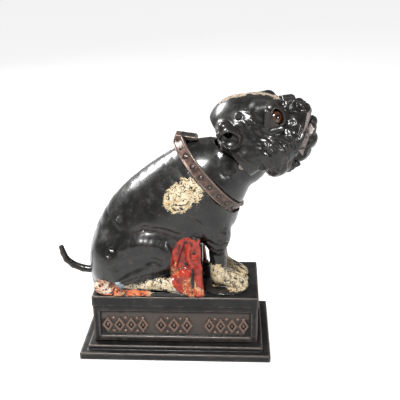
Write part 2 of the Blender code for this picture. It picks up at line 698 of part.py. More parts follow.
def make_jaw():
    """Lower jaw with its tongue trough, chin and the two ears that turn on the jaw pin."""
    lumps = [
        limb((51, -4, -13.5), (38, -7, -21.0), 5.6, 6.5, flat=1.0),
        limb((51, 4, -13.5), (38, 7, -21.0), 5.6, 6.5, flat=1.0),
        limb((58.0, 0, -10.2), (51, 0, -14.0), 4.2, 6.0, flat=1.6),
        ball((45, 0, -19.5), (9, 11.5, 7.0), -22),
        ball((36, 0, -25.0), (9, 11, 6)),
    ]
    jaw = clay(lumps, 1.5, 560, "lower_jaw")
    lip = [(x + 0.8, z - 2.0) for x, z in LIP[:4]]
    cut(jaw, prism(lip + [(37.0, -17.6), (24.0, -17.6), (24.0, 30.0), (72.0, 30.0)], (-60, 60)))
    cut(jaw, prism([(54.5, -2.0), (54.0, -12.0), (42.0, -19.0), (20.0, -19.0), (20.0, 0.0)], (-6.5, 6.5)))
    pivot = JAW_PIVOT
    hook = JAW_HOOK
    for low, high in ((-14.9, -11.6), (11.6, 14.9)):
        ear = plate([pivot, (30.0, -20.0), (38.0, -22.5)], (4.2, 4.0, 3.6), (low, high))
        join(jaw, ear)
    join(jaw, plate([(30.0, -21.0), hook], (3.6, 3.4), (11.6, 14.9)))
    cut(jaw, across(*pivot, (-30, 30), JAW_PIN_R + RUN), across(*hook, (5, 30), WIRE_R + RUN))
    put_on(in_head(jaw), "lower_jaw", "black_iron", head_point(*pivot))
    pin = in_head(across(*pivot, (-20.0, 20.0), JAW_PIN_R))
    put_on(pin, "jaw_pivot_pin", "bare_steel", head_point(*pivot))


# ---------------------------------------------------------------- the whole

def main():
    clear_scene()
    make_base_plate()
    make_base_box()
    make_coin_trap()
    make_screws()
    seats = make_body()
    for (x, z), seat, name in zip(BODY_RIVETS, seats, ("body_rivet_rear", "body_rivet_front")):
        make_rivet(name, x, z, seat)
    make_collar()
    make_tail()
    make_return_spring()
    make_push_rod()
    make_head_lever()
    make_head()
    make_jaw()
    make_jaw_link()
    for obj in bpy.data.objects:
        obj.data.transform(Matrix.Scale(MM, 4))
        obj.location = (obj.location - Vector((CENTRE_X, 0.0, 0.0))) * MM
        bm = bmesh.new()
        bm.from_mesh(obj.data)
        bmesh.ops.triangulate(bm, faces=bm.faces)
        bm.to_mesh(obj.data)
        bm.free()


main()
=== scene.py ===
# %% [markdown]
# # A cast iron bank: a seated dog on a money box
#
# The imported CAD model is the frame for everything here. Its pieces already stand where they belong and
# already move, so each piece built below is placed by the frame and rides on one of its bodies.

# %% Load the frame
import json
import math

import bmesh
import bpy
import numpy as np
from mathutils import Matrix, Vector


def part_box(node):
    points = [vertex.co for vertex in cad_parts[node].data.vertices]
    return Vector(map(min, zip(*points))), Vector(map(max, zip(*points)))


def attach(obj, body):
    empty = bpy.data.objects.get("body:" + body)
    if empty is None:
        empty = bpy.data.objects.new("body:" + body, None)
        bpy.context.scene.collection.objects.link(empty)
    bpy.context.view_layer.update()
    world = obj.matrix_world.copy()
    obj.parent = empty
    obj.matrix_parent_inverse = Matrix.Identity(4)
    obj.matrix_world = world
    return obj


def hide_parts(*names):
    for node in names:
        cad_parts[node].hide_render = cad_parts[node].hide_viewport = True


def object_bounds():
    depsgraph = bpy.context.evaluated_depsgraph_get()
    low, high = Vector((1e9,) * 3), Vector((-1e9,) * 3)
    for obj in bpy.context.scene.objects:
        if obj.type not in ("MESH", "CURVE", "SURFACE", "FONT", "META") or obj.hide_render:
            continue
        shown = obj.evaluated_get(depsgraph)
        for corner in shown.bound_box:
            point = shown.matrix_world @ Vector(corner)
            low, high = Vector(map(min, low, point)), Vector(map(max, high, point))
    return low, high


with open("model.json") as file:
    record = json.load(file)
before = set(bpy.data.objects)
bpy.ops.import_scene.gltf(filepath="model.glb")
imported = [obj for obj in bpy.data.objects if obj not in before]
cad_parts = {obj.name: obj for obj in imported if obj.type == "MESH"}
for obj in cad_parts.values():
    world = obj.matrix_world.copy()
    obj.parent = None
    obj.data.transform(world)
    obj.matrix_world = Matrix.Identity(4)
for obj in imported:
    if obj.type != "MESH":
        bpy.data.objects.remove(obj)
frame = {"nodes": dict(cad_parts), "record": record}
cad_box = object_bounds()
joints = {joint["name"]: joint for joint in frame["record"]["behaviour"]["joints"]}

# %% [markdown]
# Shapes are worked out in millimetres. The body and the box use a frame whose origin is under the middle of
# the plinth. The head and the jaw use the head's own frame, which starts at the head's pivot and leans back.

# %% Frames of the base and of the head
plinth_low, plinth_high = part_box("base_plate")
base_middle = Vector(((plinth_low.x + plinth_high.x) / 2, 0.0, 0.0))
head_pivot = Vector(joints["head_tilt"]["pos_m"])
HEAD_LEAN = math.radians(39.0)
base_frame = Matrix.Translation(base_middle) @ Matrix.Scale(0.001, 4)
head_frame = Matrix.Translation(head_pivot) @ Matrix.Rotation(-HEAD_LEAN, 4, "Y") @ Matrix.Scale(0.001, 4)


def to_row(points, place):
    """Points of one of the two frames, in millimetres, taken to the row frame in metres."""
    m = np.array(place)
    return points @ m[:3, :3].T + m[:3, 3]


print("base middle", tuple(round(x, 4) for x in base_middle))
print("head pivot", tuple(round(x, 4) for x in head_pivot))

# %% [markdown]
# The castings are sculpted as distance fields: lumps that melt into one another, like the wax or plaster a
# pattern maker would start from. Every shape is a function from points to distances, negative inside.

# %% Lumps
def smooth_line(points, between=5):
    """A curve through the points."""
    pts = np.array(points, np.float32)
    padded = np.vstack([2 * pts[0] - pts[1], pts, 2 * pts[-1] - pts[-2]])
    out = []
    for i in range(1, len(padded) - 2):
        p0, p1, p2, p3 = padded[i - 1:i + 3]
        for t in np.linspace(0, 1, between, endpoint=False):
            out.append(0.5 * (2 * p1 + (p2 - p0) * t + (2 * p0 - 5 * p1 + 4 * p2 - p3) * t * t
                              + (3 * p1 - p0 - 3 * p2 + p3) * t ** 3))
    return np.array(out + [pts[-1]], np.float32)


def egg(centre, radii, lean=0.0):
    """An ellipsoid, leaned back in the plane of symmetry by that many degrees."""
    c, r, a = np.array(centre, np.float32), np.array(radii, np.float32), math.radians(lean)
    cos, sin = math.cos(a), math.sin(a)

    def field(p):
        q = p - c
        if lean:
            q = np.stack([q[:, 0] * cos + q[:, 2] * sin, q[:, 1], q[:, 2] * cos - q[:, 0] * sin], 1)
        k0 = np.linalg.norm(q / r, axis=1)
        k1 = np.linalg.norm(q / (r * r), axis=1)
        return k0 * (k0 - 1.0) / np.maximum(k1, 1e-6)
    return field


def bar(a, b, radius_a, radius_b, flat=1.0):
    """A tapered bar with round ends, flattened sideways where flat is under 1."""
    stretch = np.array([1.0, 1.0 / flat, 1.0], np.float32)
    a, b = np.array(a, np.float32) * stretch, np.array(b, np.float32) * stretch
    run = b - a
    length2 = float(run @ run)

    def field(p):
        q = p * stretch - a
        t = np.clip(q @ run / length2, 0.0, 1.0)
        gone = np.linalg.norm(q - t[:, None] * run, axis=1)
        return (gone - (radius_a + (radius_b - radius_a) * t)) * min(1.0, flat)
    return field


def chain(beads, flat=1.0, shrink=0.0, between=4):
    """A smooth limb through beads of (x, y, z, radius)."""
    line = smooth_line(beads, between)
    bars = [bar(a[:3], b[:3], a[3] - shrink, b[3] - shrink, flat) for a, b in zip(line[:-1], line[1:])]
    return lambda p: np.min([link(p) for link in bars], axis=0)


def slab(low, high, round_off=0.0):
    """A box from its low and high corners, with its edges rounded."""
    middle = (np.array(low, np.float32) + np.array(high, np.float32)) / 2
    half = (np.array(high, np.float32) - np.array(low, np.float32)) / 2 - round_off

    def field(p):
        q = np.abs(p - middle) - half
        return np.linalg.norm(np.maximum(q, 0.0), axis=1) + np.minimum(q.max(1), 0.0) - round_off
    return field


def side_of(point, normal):
    """Everything behind a plane."""
    n = np.array(normal, np.float32) / np.linalg.norm(normal)
    offset = float(np.array(point, np.float32) @ n)
    return lambda p: p @ n - offset


def outline(points, y_low, y_high):
    """A plate with a convex outline of (x, z) points, given clockwise or not."""
    middle = np.mean(points, axis=0)
    planes = [side_of((0, y_low, 0), (0, -1, 0)), side_of((0, y_high, 0), (0, 1, 0))]
    for (x0, z0), (x1, z1) in zip(points, points[1:] + points[:1]):
        normal = np.array([z1 - z0, 0.0, x0 - x1])
        if normal[0] * (x0 - middle[0]) + normal[2] * (z0 - middle[1]) < 0:
            normal = -normal
        planes.append(side_of((x0, 0, z0), normal))
    return lambda p: np.max([plane(p) for plane in planes], axis=0)


def melt(a, b, softness):
    """Union of two fields, rounded where they meet."""
    if softness <= 0:
        return np.minimum(a, b)
    h = np.maximum(softness - np.abs(a - b), 0.0) / softness
    return np.minimum(a, b) - h * h * softness / 4.0


def press(steps):
    """One field from a list of (what, shape, softness), where what is add, cut or keep."""
    def field(p):
        d = np.full(len(p), 1e3, np.float32)
        for what, shape, softness in steps:
            e = shape(p)
            if what == "add":
                d = melt(d, e, softness)
            elif what == "cut":
                d = -melt(-d, e, softness)
            else:
                d = -melt(-d, -e, softness)
        return d
    return field


print("lumps: egg, bar, slab, outline")

# %% [markdown]
# Fine modelling is drawn on with strokes. A stroke follows a line of points and presses a groove into the
# surface, or raises a ridge where its depth is negative.

# %% Strokes
def stroke(points, width, depth):
    """Depth pressed in along the line, fading away over width, in millimetres."""
    line = smooth_line(points) if len(points) > 2 else np.array(points, np.float32)
    low, high = line.min(0) - 2.6 * width, line.max(0) + 2.6 * width

    def pressed(p):
        out = np.zeros(len(p), np.float32)
        near = np.all((p > low) & (p < high), axis=1)
        q = p[near]
        if not len(q):
            return out
        best = np.full(len(q), 1e9, np.float32)
        for a, b in zip(line[:-1], line[1:]):
            run = b - a
            t = np.clip((q - a) @ run / max(float(run @ run), 1e-9), 0.0, 1.0)
            best = np.minimum(best, ((q - a - t[:, None] * run) ** 2).sum(1))
        out[near] = depth * np.exp(-best / (width * width))
        return out
    return pressed


def ring(centre, axis, radius, squash=1.0, count=24):
    """Points round a circle, or an oval where squash is under 1."""
    c, n = Vector(centre), Vector(axis).normalized()
    u = n.cross(Vector((0, 0, 1))).normalized()
    v = n.cross(u)
    angles = np.radians(np.linspace(0, 360, count))
    return [tuple(c + u * radius * math.cos(a) + v * radius * squash * math.sin(a)) for a in angles]


def marked(field, strokes):
    """A field with its strokes."""
    def with_strokes(p):
        d = field(p)
        for pressed in strokes:
            d = d + pressed(p)
        return d
    return with_strokes


lattice = np.random.RandomState(11).rand(32, 32, 32).astype(np.float32)


def mottle(p, size, shift=0.0):
    """Smooth random values from 0 to 1 that change over about that many millimetres."""
    q = p / size + shift
    i = np.floor(q).astype(int)
    f = q - i
    f = f * f * (3 - 2 * f)
    out = 0.0
    for dx in (0, 1):
        for dy in (0, 1):
            for dz in (0, 1):
                weight = (np.abs(1 - dx - f[:, 0]) * np.abs(1 - dy - f[:, 1]) * np.abs(1 - dz - f[:, 2]))
                out = out + weight * lattice[(i[:, 0] + dx) % 32, (i[:, 1] + dy) % 32, (i[:, 2] + dz) % 32]
    return out


def ruffle(inside, size, depth, along=None, longer=1.0, shift=0.0):
    """Unevenness of that size where inside is above zero, drawn out along a direction."""
    away = np.array(along if along is not None else (1, 0, 0), np.float32)
    away = away / np.linalg.norm(away)

    def pressed(p):
        out = np.zeros(len(p), np.float32)
        how_far = inside(p)
        near = how_far > 0
        q = p[near]
        if len(q):
            q = q - (q @ away)[:, None] * away * (1.0 - 1.0 / longer)
            wave = 0.65 * mottle(q, size, shift) + 0.35 * mottle(q, size * 0.5, shift + 7)
            out[near] = depth * 2.0 * (wave - 0.5) * np.minimum(how_far[near] / 2.5, 1.0)
        return out
    return pressed


def everywhere(p):
    """A rule for ruffles that cover a whole casting."""
    return np.full(len(p), 3.0, np.float32)


print("strokes: groove, ridge, ring, ruffle")

# %% [markdown]
# A field becomes a skin of small quads. The space is first searched coarsely, then filled in finely near the
# surface only, and each corner of the skin is moved on to the surface.

# %% Skin
def sample(field, low, high, step):
    """The field on a fine grid, exact near the surface and of the right sign elsewhere."""
    block = 4
    cells = np.ceil((np.array(high) - np.array(low)) / (step * block)).astype(int) + 1
    axes = [low[k] + (np.arange(cells[k]) + 0.5) * step * block for k in range(3)]
    centres = np.stack(np.meshgrid(*axes, indexing="ij"), -1).reshape(-1, 3).astype(np.float32)
    coarse = field(centres)
    fine = np.repeat(np.repeat(np.repeat(coarse.reshape(cells), block, 0), block, 1), block, 2)
    near = np.where(np.abs(coarse) < step * block * 1.25)[0]
    ijk = np.stack(np.unravel_index(near, cells), 1) * block
    inner = np.stack(np.meshgrid(*[np.arange(block)] * 3, indexing="ij"), -1).reshape(-1, 3)
    where = (ijk[:, None, :] + inner[None]).reshape(-1, 3)
    points = (np.array(low) + where * step).astype(np.float32)
    fine[where[:, 0], where[:, 1], where[:, 2]] = field(points)
    return fine


def skin(values, low, step):
    """Corners and quads of the zero surface of a sampled field."""
    inside = values < 0
    shape = np.array(values.shape) - 1
    count = np.zeros(shape, np.int8)
    for dx in (0, 1):
        for dy in (0, 1):
            for dz in (0, 1):
                count += inside[dx:dx + shape[0], dy:dy + shape[1], dz:dz + shape[2]]
    mixed = np.stack(np.where((count > 0) & (count < 8)), 1)
    number = -np.ones(shape, int)
    number[tuple(mixed.T)] = np.arange(len(mixed))
    total, hits = np.zeros((len(mixed), 3)), np.zeros(len(mixed))
    for axis in range(3):
        others = [k for k in range(3) if k != axis]
        for m in (0, 1):
            for n in (0, 1):
                start = np.zeros(3, int)
                start[others[0]], start[others[1]] = m, n
                end = start.copy()
                end[axis] = 1
                a = values[tuple((mixed + start).T)]
                b = values[tuple((mixed + end).T)]
                cross = (a < 0) != (b < 0)
                t = np.where(cross, a / np.where(cross, a - b, 1.0), 0.0)
                at = start + np.zeros((len(mixed), 3))
                at[:, axis] = t
                total += at * cross[:, None]
                hits += cross
    corners = np.array(low) + (mixed + total / hits[:, None]) * step
    quads = []
    for axis in range(3):
        u, v = [(1, 2), (2, 0), (0, 1)][axis]
        first = [slice(None)] * 3
        second = [slice(None)] * 3
        first[axis], second[axis] = slice(None, -1), slice(1, None)
        a, b = inside[tuple(first)], inside[tuple(second)]
        at = np.stack(np.where(a != b), 1)
        at = at[(at[:, u] > 0) & (at[:, v] > 0) & (at[:, u] < shape[u]) & (at[:, v] < shape[v])]
        step_u, step_v = np.eye(3, dtype=int)[u], np.eye(3, dtype=int)[v]
        four = np.stack([number[tuple((at - du * step_u - dv * step_v).T)]
                         for du, dv in ((0, 0), (1, 0), (1, 1), (0, 1))], 1)
        out = a[tuple(at.T)]
        four[~out] = four[~out][:, ::-1]
        quads.append(four)
    quads = np.vstack(quads)
    return corners, quads[(quads >= 0).all(1)]


def slope(field, p, step):
    """Which way the field rises."""
    g = np.zeros_like(p)
    for s in ((1, -1, -1), (-1, -1, 1), (-1, 1, -1), (1, 1, 1)):
        s = np.array(s, np.float32)
        g += s * field(p + s * step)[:, None]
    return g / (4.0 * step)


def sculpt(name, field, low, high, step, place, body, paints=None, strokes=(), mirror=False):
    """A piece whose skin is the field's surface. paints gives a number to each corner for each paint."""
    corners, quads = skin(sample(field, low, high, step), low, step)
    corners = corners.astype(np.float32)
    full = marked(field, strokes)
    for _ in range(3):
        d = full(corners)
        g = slope(full, corners, step * 0.35)
        length = np.maximum((g * g).sum(1), 0.15)
        corners = corners - np.clip(d / length, -step, step)[:, None] * g
    g = slope(full, corners, step * 0.35)
    g /= np.maximum(np.linalg.norm(g, axis=1), 1e-6)[:, None]
    # The bend of the skin at each corner: above zero on ridges, where the paint wears through, and below zero
    # in hollows, where it drives painted shade.
    bend = -6.0 * full(corners)
    reach = 1.6
    for k in range(3):
        e = np.zeros(3, np.float32)
        e[k] = reach
        bend += full(corners + e) + full(corners - e)
    numbers = {"wear_and_crease_shade": np.clip(bend / reach, -2.0, 2.0)}
    for paint, rule in (paints or {}).items():
        numbers[paint] = rule(corners)
    made = []
    for side in ((1, "right"), (-1, "left")) if mirror else ((1, None),):
        points = corners * np.array([1, side[0], 1])
        faces = quads if side[0] == 1 else quads[:, ::-1]
        mesh = bpy.data.meshes.new(name)
        at_rest = np.clip(to_row(points, place), cad_box[0], cad_box[1])
        mesh.from_pydata(at_rest.tolist(), [], faces.tolist())
        mesh.shade_smooth()
        for paint, value in numbers.items():
            layer = mesh.attributes.new(paint, "FLOAT", "POINT")
            layer.data.foreach_set("value", np.asarray(value, np.float32))
        label = name if side[1] is None else f"{name}_{side[1]}"
        obj = bpy.data.objects.new(label, mesh)
        bpy.context.scene.collection.objects.link(obj)
        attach(obj, body)
        made.append(obj)
    print(f"{name}: {len(corners)} corners")
    return made if mirror else made[0]


print("skins are ready")

# %% [markdown]
# Some shapes come back on several castings: a field placed in the head's frame, a flat lever with round ends,
# the oval band of the collar, and bored holes.

# %% Shapes that come back
PIVOT = np.array((head_pivot - base_middle) * 1000.0, np.float32)


def leaned(field):
    """A field of the head's frame, for use in the base's frame."""
    cos, sin = math.cos(HEAD_LEAN), math.sin(HEAD_LEAN)

    def in_base(p):
        q = p - PIVOT
        return field(np.stack([q[:, 0] * cos + q[:, 2] * sin, q[:, 1], q[:, 2] * cos - q[:, 0] * sin], 1))
    return in_base


def lever(places, radii, y_low, y_high):
    """A flat lever: discs at (x, z) places, joined by straight edges."""
    pairs = zip(zip(places, radii), zip(places[1:], radii[1:]))
    runs = [bar((a[0], 0, a[1]), (b[0], 0, b[1]), ra, rb) for (a, ra), (b, rb) in pairs]

    def field(p):
        flat = p * np.array([1, 0, 1], np.float32)
        edge = np.min([run(flat) for run in runs], axis=0)
        return np.maximum(edge, np.maximum(y_low - p[:, 1], p[:, 1] - y_high))
    return field


def bore(x, z, radius, y_low, y_high):
    """A round hole along the width."""
    return lambda p: np.maximum(np.hypot(p[:, 0] - x, p[:, 2] - z) - radius,
                                np.maximum(y_low - p[:, 1], p[:, 1] - y_high))


def drop(x, y, radius, z_low, z_high):
    """A round upright hole."""
    return lambda p: np.maximum(np.hypot(p[:, 0] - x, p[:, 1] - y) - radius,
                                np.maximum(z_low - p[:, 2], p[:, 2] - z_high))


COLLAR_AT = np.array([25.5, 0.0, 139.0], np.float32)
COLLAR_LEAN = math.radians(40.5)
COLLAR_HIGH, COLLAR_WIDE = 33.1, 27.6
collar_axis = np.array([math.cos(COLLAR_LEAN), 0.0, math.sin(COLLAR_LEAN)], np.float32)
collar_up = np.array([-math.sin(COLLAR_LEAN), 0.0, math.cos(COLLAR_LEAN)], np.float32)


def hoop(inner, outer, half_band, round_off=0.0):
    """An oval band round the neck, from inner to outer millimetres off the neck."""
    def field(p):
        q = p - COLLAR_AT
        up, along = q @ collar_up, np.abs(q @ collar_axis)
        k0 = np.hypot(up / COLLAR_HIGH, q[:, 1] / COLLAR_WIDE)
        k1 = np.hypot(up / COLLAR_HIGH ** 2, q[:, 1] / COLLAR_WIDE ** 2)
        off = k0 * (k0 - 1.0) / np.maximum(k1, 1e-6)
        a = np.maximum(inner - off, off - outer) + round_off
        b = along - half_band + round_off
        return np.hypot(np.maximum(a, 0), np.maximum(b, 0)) + np.minimum(np.maximum(a, b), 0) - round_off
    return field


def blob(centre, radii, lean=0.0):
    """How many millimetres a point lies inside an egg. Paints are placed with it."""
    shape = egg(centre, radii, lean)
    return lambda p: -shape(p)


def any_of(*rules):
    """A patch of paint made of several."""
    return lambda p: np.max([rule(p) for rule in rules], axis=0)


print("collar at", COLLAR_AT.tolist(), "head pivot in the base frame", PIVOT.round(2).tolist())

# %% [markdown]
# The body is cast as two hollow shells, held by two rivets. The real pattern was carved in wood, so the lumps
# of muscle run into one another with soft hollows between them. Only the right shell is sculpted. The left one
# is its mirror image, as on the real casting.

# %% Body: outside
DECK_TOP = 49.3
BACK = [(-38.0, 0, 54, 30.3), (-37.0, 0, 72, 31.6), (-20.5, 0, 95, 36.8), (1.5, 0, 115.5, 36.4),
        (22, 0, 132, 32.8)]
THIGH = [(-40, -20, 84, 15), (-24, -25.5, 90, 12.5), (-10, -27.5, 88, 10.2), (-6.5, -28.5, 81, 8.4)]
CALF = [(-8, -29, 79, 7.6), (-20, -30.0, 73, 7.0), (-32, -30.5, 66, 6.4), (-41, -30.5, 61, 5.6)]
FORELEG = [(32.5, -13.0, 78, 5.6), (32.8, -14.0, 67, 6.2), (34.5, -14.0, 59, 6.6), (40, -12.8, 55, 6.0)]
HIND_FOOT = [(-40, -28.5, 58.5, 4.6), (-26, -29.2, 58.8, 4.9), (-12, -29.2, 59.6, 6.0), (0, -28.6, 58.6, 5.9)]
torso = [("add", chain(BACK, 0.91), 0), ("add", egg((-38, 0, 56), (29.5, 31.5, 30)), 3),
         ("add", egg((26, 0, 110), (22.4, 23.6, 22.4)), 5),
         ("add", egg((50, 0, 152), (21.5, 19, 21.5)), 2),
         ("add", bar((28, 0, 138), (46, 0, 150), 25.5, 22, 0.92), 4)]
limbs = [("add", bar((-42, -15, 78), (-12, -25, 85), 23, 11.5), 5),
         ("add", chain(THIGH), 4),
         ("add", bar((-46, -16, 66), (-34, -22, 62), 18, 11), 5),
         ("add", chain(CALF), 2),
         ("add", bar((-6, -22, 78), (-22, -23, 60), 9, 9), 3),
         ("add", bar((24, -17, 116), (32, -16, 94), 14, 10, 0.9), 7),
         ("add", bar((31.5, -16, 94), (32.5, -13, 75), 8.8, 5.2), 5),
         ("add", bar((32.5, -12.5, 76), (34.0, -12.0, 60), 5.2, 6.4), 3),
         ("add", bar((36, -11, 56.5), (48, -9.5, 53.6), 7.4, 4.4), 3),
         ("add", chain(FORELEG), 3),
         ("add", egg((38, -12, 49), (20, 17, 3.2)), 1.0),
         ("add", bar((4, 0, 92), (4, 0, 48), 16.5, 16.5, 1.35), 2)]
hind_foot = [("add", chain(HIND_FOOT), 1.6),
             ("add", bar((2, -31.4, 57.6), (9.0, -32.0, 54.6), 3.6, 3.1), 1.2),
             ("add", bar((2, -26.5, 58.0), (11.0, -27, 55.0), 3.9, 3.3), 1.2),
             ("add", slab((-47, -33.0, DECK_TOP), (-18, -24, 55.4), 1.0), 0.4),
             ("add", slab((-19, -32.8, DECK_TOP), (8, -24, 53.4), 0.9), 0.4),
             ("add", slab((-55, -31.8, DECK_TOP), (24, -24, 51.2), 0.8), 0.6),
             ("add", egg((-53, -25, 54.0), (10.0, 7.6, 6.6)), 1.2)]
cloth = [("add", bar((5, -20, 92), (-2, -25.6, 50), 7, 6.2), 2),
         ("add", bar((12, -21, 92), (11, -25.6, 50), 6.4, 6.0), 2),
         ("add", bar((1, -27.0, 95.2), (17.0, -26.0, 94.8), 3.0, 2.8), 2),
         ("add", bar((4, -27.4, 92), (-2.2, -30.0, 74), 3.0, 3.4), 2),
         ("add", bar((16.0, -25.8, 93), (17.2, -28.6, 72), 3.2, 3.6), 2),
         ("add", bar((17.2, -28.6, 72), (18.0, -29.4, 53), 3.6, 4.6), 2),
         ("add", egg((7.6, -30.2, 64.0), (6.2, 4.4, 8.6)), 1.6),
         ("add", egg((13.6, -28.8, 58), (4.6, 4.2, 7.0)), 1.6),
         ("add", bar((10.5, -27.8, 90), (12.0, -29.0, 70), 2.0, 2.2), 1.6)]
paw = [("add", chain([(40, -6.0, 57.0, 4.6), (47, -5.4, 55.2, 4.0), (54.0, -5.0, 52.2, 2.7)]), 0.9),
       ("add", chain([(38, -10.6, 56.6, 4.8), (46, -11.0, 55.2, 4.0), (53.6, -11.2, 52.0, 2.7)]), 0.9),
       ("add", chain([(35, -14.6, 56.0, 4.8), (42, -16.0, 54.4, 3.8), (49.6, -16.6, 51.8, 2.6)]), 0.9)]
print("body lumps:", len(torso + limbs + hind_foot + cloth + paw))

# %% [markdown]
# Inside, the shell is hollow, with solid bosses for the rivets, for the tail's pin and for the screws. In
# front, the neck ends in a ball that the head turns on, so everything that the head sweeps through is cut away.

# %% Body: inside and fittings
WALL = 3.2
REAR_RIVET, FRONT_RIVET, TAIL_PIN, NECK_PIN = (-40, 109), (34, 92), (-50, 60.5), (50, 152)
BOSS, RIVET_HOLE, SCREW_HOLE, FAR = 5.0, 2.1, 2.05, 60
DECK_SCREWS = ((-44, 20), (38, 10))
hollow = press([("add", chain(BACK, 0.91, WALL), 0), ("add", egg((-38, 0, 56), (26.3, 28.3, 26.8)), 0),
                ("add", egg((26, 0, 110), (19.8, 20.8, 19.8)), 0),
                ("add", egg((50, 0, 152), (18.3, 15.8, 18.3)), 0),
                ("add", bar((28, 0, 138), (46, 0, 150), 22.3, 18.8, 0.92), 0),
                ("add", bar((4, 0, 92), (4, 0, 40), 13.6, 13.6, 1.38), 0),
                ("cut", bore(*REAR_RIVET, BOSS, -FAR, FAR), 0), ("cut", bore(*FRONT_RIVET, BOSS, -FAR, FAR), 0),
                ("cut", bore(*TAIL_PIN, 5.5, -FAR, -9.3), 0),
                ("cut", slab((-50, -40, 40), (-38, -14.5, 61.3)), 0)])


def head_sweep(p):
    """What the head passes through from shut to wide open, in the head's frame."""
    back = math.radians(112.0)
    rear = side_of((0, 0, 0), (-math.sin(back), 0, math.cos(back)))(p)
    front = side_of((0, 0, 0), (-90.0, 0, 2.0))(p)
    return np.maximum(np.minimum(rear, front), -egg((0, 0, 0), (22.1, 19.6, 22.1))(p))


fittings = [("cut", hollow, 0), ("cut", leaned(head_sweep), 0.4),
            ("cut", leaned(slab((7, -40, -40), (60, 40, 40))), 0.4), ("cut", hoop(-0.35, 3.5, 4.85), 0.3),
            ("cut", bore(*REAR_RIVET, RIVET_HOLE, -FAR, FAR), 0),
            ("cut", bore(*FRONT_RIVET, RIVET_HOLE, -FAR, FAR), 0),
            ("cut", bore(*NECK_PIN, 2.75, -FAR, FAR), 0), ("cut", bore(*TAIL_PIN, 2.3, -16.3, FAR), 0),
            ("cut", slab((-80, -3.4, 40), (-56, 3.4, 61.5)), 0.3)]
fittings += [("cut", drop(x, -y, SCREW_HOLE, 40, DECK_TOP + 9), 0) for x, y in DECK_SCREWS]
fittings += [("keep", side_of((0, -0.12, 0), (0, 1, 0)), 0.25),
             ("keep", side_of((0, 0, DECK_TOP), (0, 0, -1)), 0.3)]
body_field = press(torso + limbs + hind_foot + cloth + paw + fittings)
print("body fittings:", len(fittings))

# %% [markdown]
# The folds of skin, the drapery's holes and the toes are pressed in with strokes.

# %% Body: strokes
def rivet_ring(x, z, y):
    """The faint circle round a rivet's head that paint has nearly filled."""
    return stroke(ring((x, y, z), (0, -1, 0), 3.5, count=18), 0.6, 0.35)


def combed(centre, spread, count, length, width, depth, seed):
    """Short strokes fanned out from a place, like hair."""
    rng = np.random.RandomState(seed)
    made = []
    for k in range(count):
        angle = math.radians(spread[0] + (spread[1] - spread[0]) * (k + rng.rand() * 0.5) / count)
        out = np.array([math.cos(angle), 0.0, math.sin(angle)])
        start = np.array(centre) + out * length * 0.15 + np.array([0, rng.rand() * 1.5 - 0.75, 0])
        bend = start + out * length * 0.5 + np.array([0, 0, 0.6])
        made.append(stroke([tuple(start), tuple(bend), tuple(start + out * length)], width, depth))
    return made


